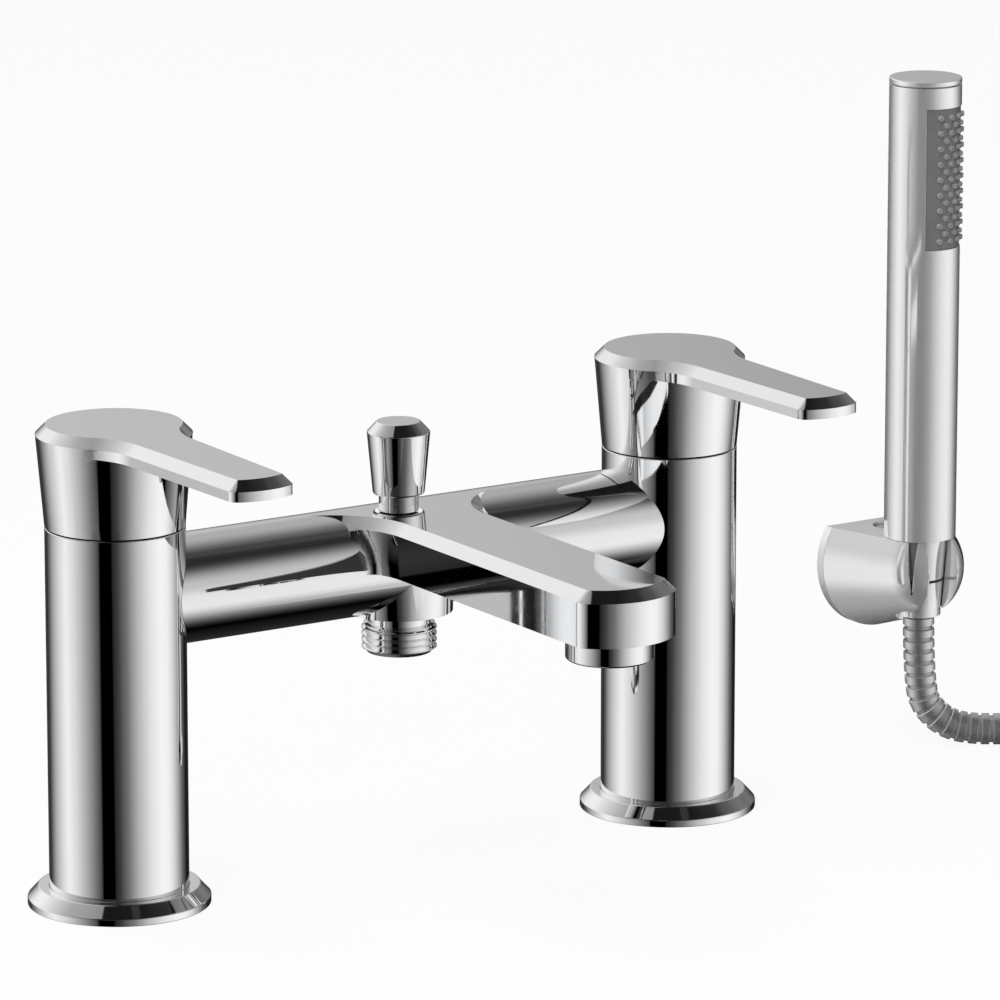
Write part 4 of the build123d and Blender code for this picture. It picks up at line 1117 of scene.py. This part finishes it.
@dataclass
class Bracket:
    """Wall bracket's casting with its round fork, and the conical hose nut that rests in it.

    The profiles are (radius, height) pairs in millimetres.
    """

    x: float = 188.1
    y: float = 14.0
    disc_x: float = 189.1
    disc_height: float = 52.2
    disc_radius: float = 20.5
    disc_y: float = 35.0
    fork_height: float = 54.0
    fork_radius: float = 13.1
    fork_half: float = 14.8
    fork_blend: float = 2.3
    dome_rings: int = 26
    dome_end: float = math.radians(84.0)
    top: float = 63.2
    top_cut: Place = (90.0, 90.0, 50.0)
    slot_forward: float = 9.3
    slot_height: float = 50.0
    slot_cut: Place = (10.0, 23.4, 42.0)
    notch: Point = (2.6, 15.0)
    notch_length: float = 20.0
    notch_turn: float = 46.0
    notch_foot: float = 0.02
    notch_over: float = 0.1
    notch_spare: float = 0.06
    screw_y: float = 28.9
    pocket_y: float = 30.0
    pocket_height: float = 50.7
    pocket_cut: Place = (12.1, 12.2, 13.1)

    SOCKET = ((6.7, 30.0), (6.7, 42.0), (8.72, 64.2))
    RECESS = ((2.55, 39.7), (2.55, 59.7), (5.7, 59.7), (5.7, 64.2))
    NUT = (
        (4.75, 39.6), (6.4, 39.6), (6.4, 42.0), (7.11, 50.1), (6.75, 50.2), (6.75, 50.8), (7.18, 50.9),
        (8.3, 62.9), (6.0, 62.9), (6.0, 45.0), (4.75, 45.0),
    )
    # Painted shade: a black ring laid into the cone nut's groove, where shade falls.
    GROOVE_SHADE_RING = ((6.7, 50.2), (6.95, 50.25), (6.95, 50.75), (6.7, 50.8), (6.5, 50.5))

    def block(self, place: Place, size: Place, turn: float = 0.0) -> Piece:
        """Makes a plain block to cut with.

        Args:
            place: Its centre, in millimetres.
            size: Its sizes, in millimetres.
            turn: Its turn about the upright axis, in radians.

        Returns:
            The block.
        """
        rest()
        bpy.ops.mesh.primitive_cube_add(
            size=MM, location=[value * MM for value in place], rotation=(0.0, 0.0, turn)
        )
        block = bpy.context.object
        bpy.ops.object.mode_set(mode="EDIT")
        bpy.ops.transform.resize(value=size, orient_type="LOCAL")
        rest()
        return block

    def notch_bearings(self) -> tuple[float, ...]:
        """Finds the bearings of the fork's two notches, in radians."""
        return tuple(math.radians(-90.0 + turn) for turn in (-self.notch_turn, self.notch_turn))

    def wedge(self, bearing: float) -> Piece:
        """Shapes the tapering wedge that cuts a notch.

        Args:
            bearing: The notch's bearing from the socket's axis, in radians.

        Returns:
            The wedge.
        """
        width, depth = self.notch
        out = self.notch_length / 2
        centre = (self.x + out * math.cos(bearing), self.y + out * math.sin(bearing), self.top - depth / 2)
        wedge = self.block(centre, (self.notch_length, width, depth), bearing)
        open_up(wedge)
        pick(wedge, Kind.VERTICES, lambda vertex: vertex.co.z < 0)
        bpy.ops.transform.resize(value=(1.0, self.notch_foot, 1.0), orient_type="LOCAL")
        pick(wedge, Kind.VERTICES, lambda vertex: vertex.co.z > 0)
        bpy.ops.transform.translate(value=(0.0, 0.0, self.notch_over * MM))
        return settle(wedge)

    def arm(self) -> Piece:
        """Draws the arm out of the wall disc and rounds its front into a dome, ring by ring.

        Returns:
            The arm, whole.
        """
        start = math.asin(self.fork_blend / self.fork_radius)
        share = math.cos(start)
        foot = (self.disc_x, self.disc_y, self.disc_height)
        end = (self.x, self.y - self.fork_blend, self.fork_height)
        rest()
        bpy.ops.mesh.primitive_circle_add(
            vertices=AROUND,
            radius=self.disc_radius * MM,
            fill_type="NGON",
            location=[value * MM for value in foot],
            rotation=(math.pi / 2, 0.0, 0.0),
        )
        arm = bpy.context.object
        arm.name = "bracket_casting"
        bpy.ops.object.mode_set(mode="EDIT")
        bpy.ops.mesh.select_all(action="SELECT")
        step = [(after - before) * MM for after, before in zip(end, foot)]
        bpy.ops.mesh.extrude_region_move(TRANSFORM_OT_translate={"value": step})
        across, up = (share * size / self.disc_radius for size in (self.fork_radius, self.fork_half))
        middle = [value * MM for value in end]
        bpy.ops.transform.resize(value=(across, 1.0, up), center_override=middle)
        for place in range(1, self.dome_rings + 1):
            angle = start + (self.dome_end - start) * place / self.dome_rings
            forward = self.fork_radius * math.sin(angle) - (self.y - middle[1] / MM)
            bpy.ops.mesh.extrude_region_move(TRANSFORM_OT_translate={"value": (0.0, -forward * MM, 0.0)})
            middle[1] -= forward * MM
            narrower = math.cos(angle) / share
            bpy.ops.transform.resize(value=(narrower, 1.0, narrower), center_override=middle)
            share = math.cos(angle)
        return settle(arm)

    def casting(self) -> Piece:
        """Cuts the arm's flat top, its socket, slot and notches, and the recess of the clamp screw.

        Returns:
            The casting.
        """
        arm = self.arm()
        carved(arm, self.block((self.x, self.y, self.top + self.top_cut[2] / 2), self.top_cut))
        carved(arm, turned("socket", self.SOCKET, self.x, self.y))
        carved(arm, self.block((self.x, self.y - self.slot_forward, self.slot_height), self.slot_cut))
        for bearing in self.notch_bearings():
            carved(arm, self.wedge(bearing))
        carved(arm, turned("recess", self.RECESS, self.disc_x, self.screw_y))
        carved(arm, self.block((self.disc_x, self.pocket_y, self.pocket_height), self.pocket_cut))
        return eased(cleaned(arm, gap=0.1), 0.18, angle=34.0, clamp=False)

    def in_notch(self, place: Vector) -> bool:
        """Tells whether a place lies on the walls of one of the fork's notches.

        Args:
            place: The place, in millimetres.

        Returns:
            True between the walls, with a little to spare, below the flat top.
        """
        width, depth = self.notch
        height = (place.z - self.top + depth) / depth
        x, y = place.x - self.x, place.y - self.y
        for bearing in self.notch_bearings():
            out = x * math.cos(bearing) + y * math.sin(bearing)
            across = abs(y * math.cos(bearing) - x * math.sin(bearing))
            if out > 0 and 0.0 < height < 0.999 and across < width / 2 * height + self.notch_spare:
                return True
        return False

    def build(self) -> None:
        """Builds the casting with painted shade on its notch walls, and the nut with a black ring of painted
        shade in its groove.
        """
        casting = self.casting()
        nodes = ("bracket_body", "bracket_left_fork", "bracket_right_fork")
        fitted(casting, SATIN_CHROME, Body.MIXER, *nodes)
        # The notch walls get painted shade.
        touched_up(casting, NOTCH_SHADE, lambda face: self.in_notch(face.center / MM))
        nut = turned("hose_nut_cone", self.NUT, self.x, self.y, hollow=True)
        fitted(eased(nut, 0.12), SATIN_CHROME, Body.HOSE_NUT, "hose_cone_nut")
        # The black ring in the nut's groove is painted shade.
        band = turned("nut_groove_painted_shade", self.GROOVE_SHADE_RING, self.x, self.y, hollow=True)
        fitted(eased(band, 0.0), RUBBER, Body.HOSE_NUT)


# Nodes that keep their CAD shape

DRESSED = {
    BRASS: (
        "left_cartridge", "right_cartridge", "left_spindle", "right_spindle", "diverter_stem",
        "hose_tailpiece", "hose_end_tailpiece",
    ),
    CERAMIC: ("left_fixed_disc", "left_moving_disc", "right_fixed_disc", "right_moving_disc"),
    RUBBER: (
        "left_base_seal", "right_base_seal", "aerator_washer", "diverter_seal", "diverter_lower_washer",
        "diverter_upper_washer", "hose_washer",
    ),
    STEEL: ("left_lever_screw", "right_lever_screw", "bracket_screw"),
    WHITE_PLASTIC: ("check_valve", "spray_manifold", "aerator_insert"),
    CHROME: ("handset_shank", "hose_end_nut"),
    SATIN_CHROME: ("bracket_plate",),
}


def dress() -> None:
    """Gives every CAD node that stays visible its own finish."""
    for finish, nodes in DRESSED.items():
        for name in nodes:
            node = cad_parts[name]
            node.data.materials.clear()
            node.data.materials.append(finish.material())
            node.visible_glossy = not name.startswith("hose")
            log.info("%s: %s", name, finish.name)


def main() -> None:
    """Builds the studio, the hose and each sub-assembly in order."""
    logging.basicConfig(level=logging.INFO, format="%(name)s: %(message)s")
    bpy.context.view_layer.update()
    Studio().build()
    Hose().build()
    for side, x, body in (("left", -PILLAR_X, Body.LEFT_HANDLE), ("right", PILLAR_X, Body.RIGHT_HANDLE)):
        Pillar(side, x).build()
        Lever(side, body).build()
    Bridge().build()
    HandShower().build()
    Bracket().build()
    dress()


if __name__ == "__main__":
    main()
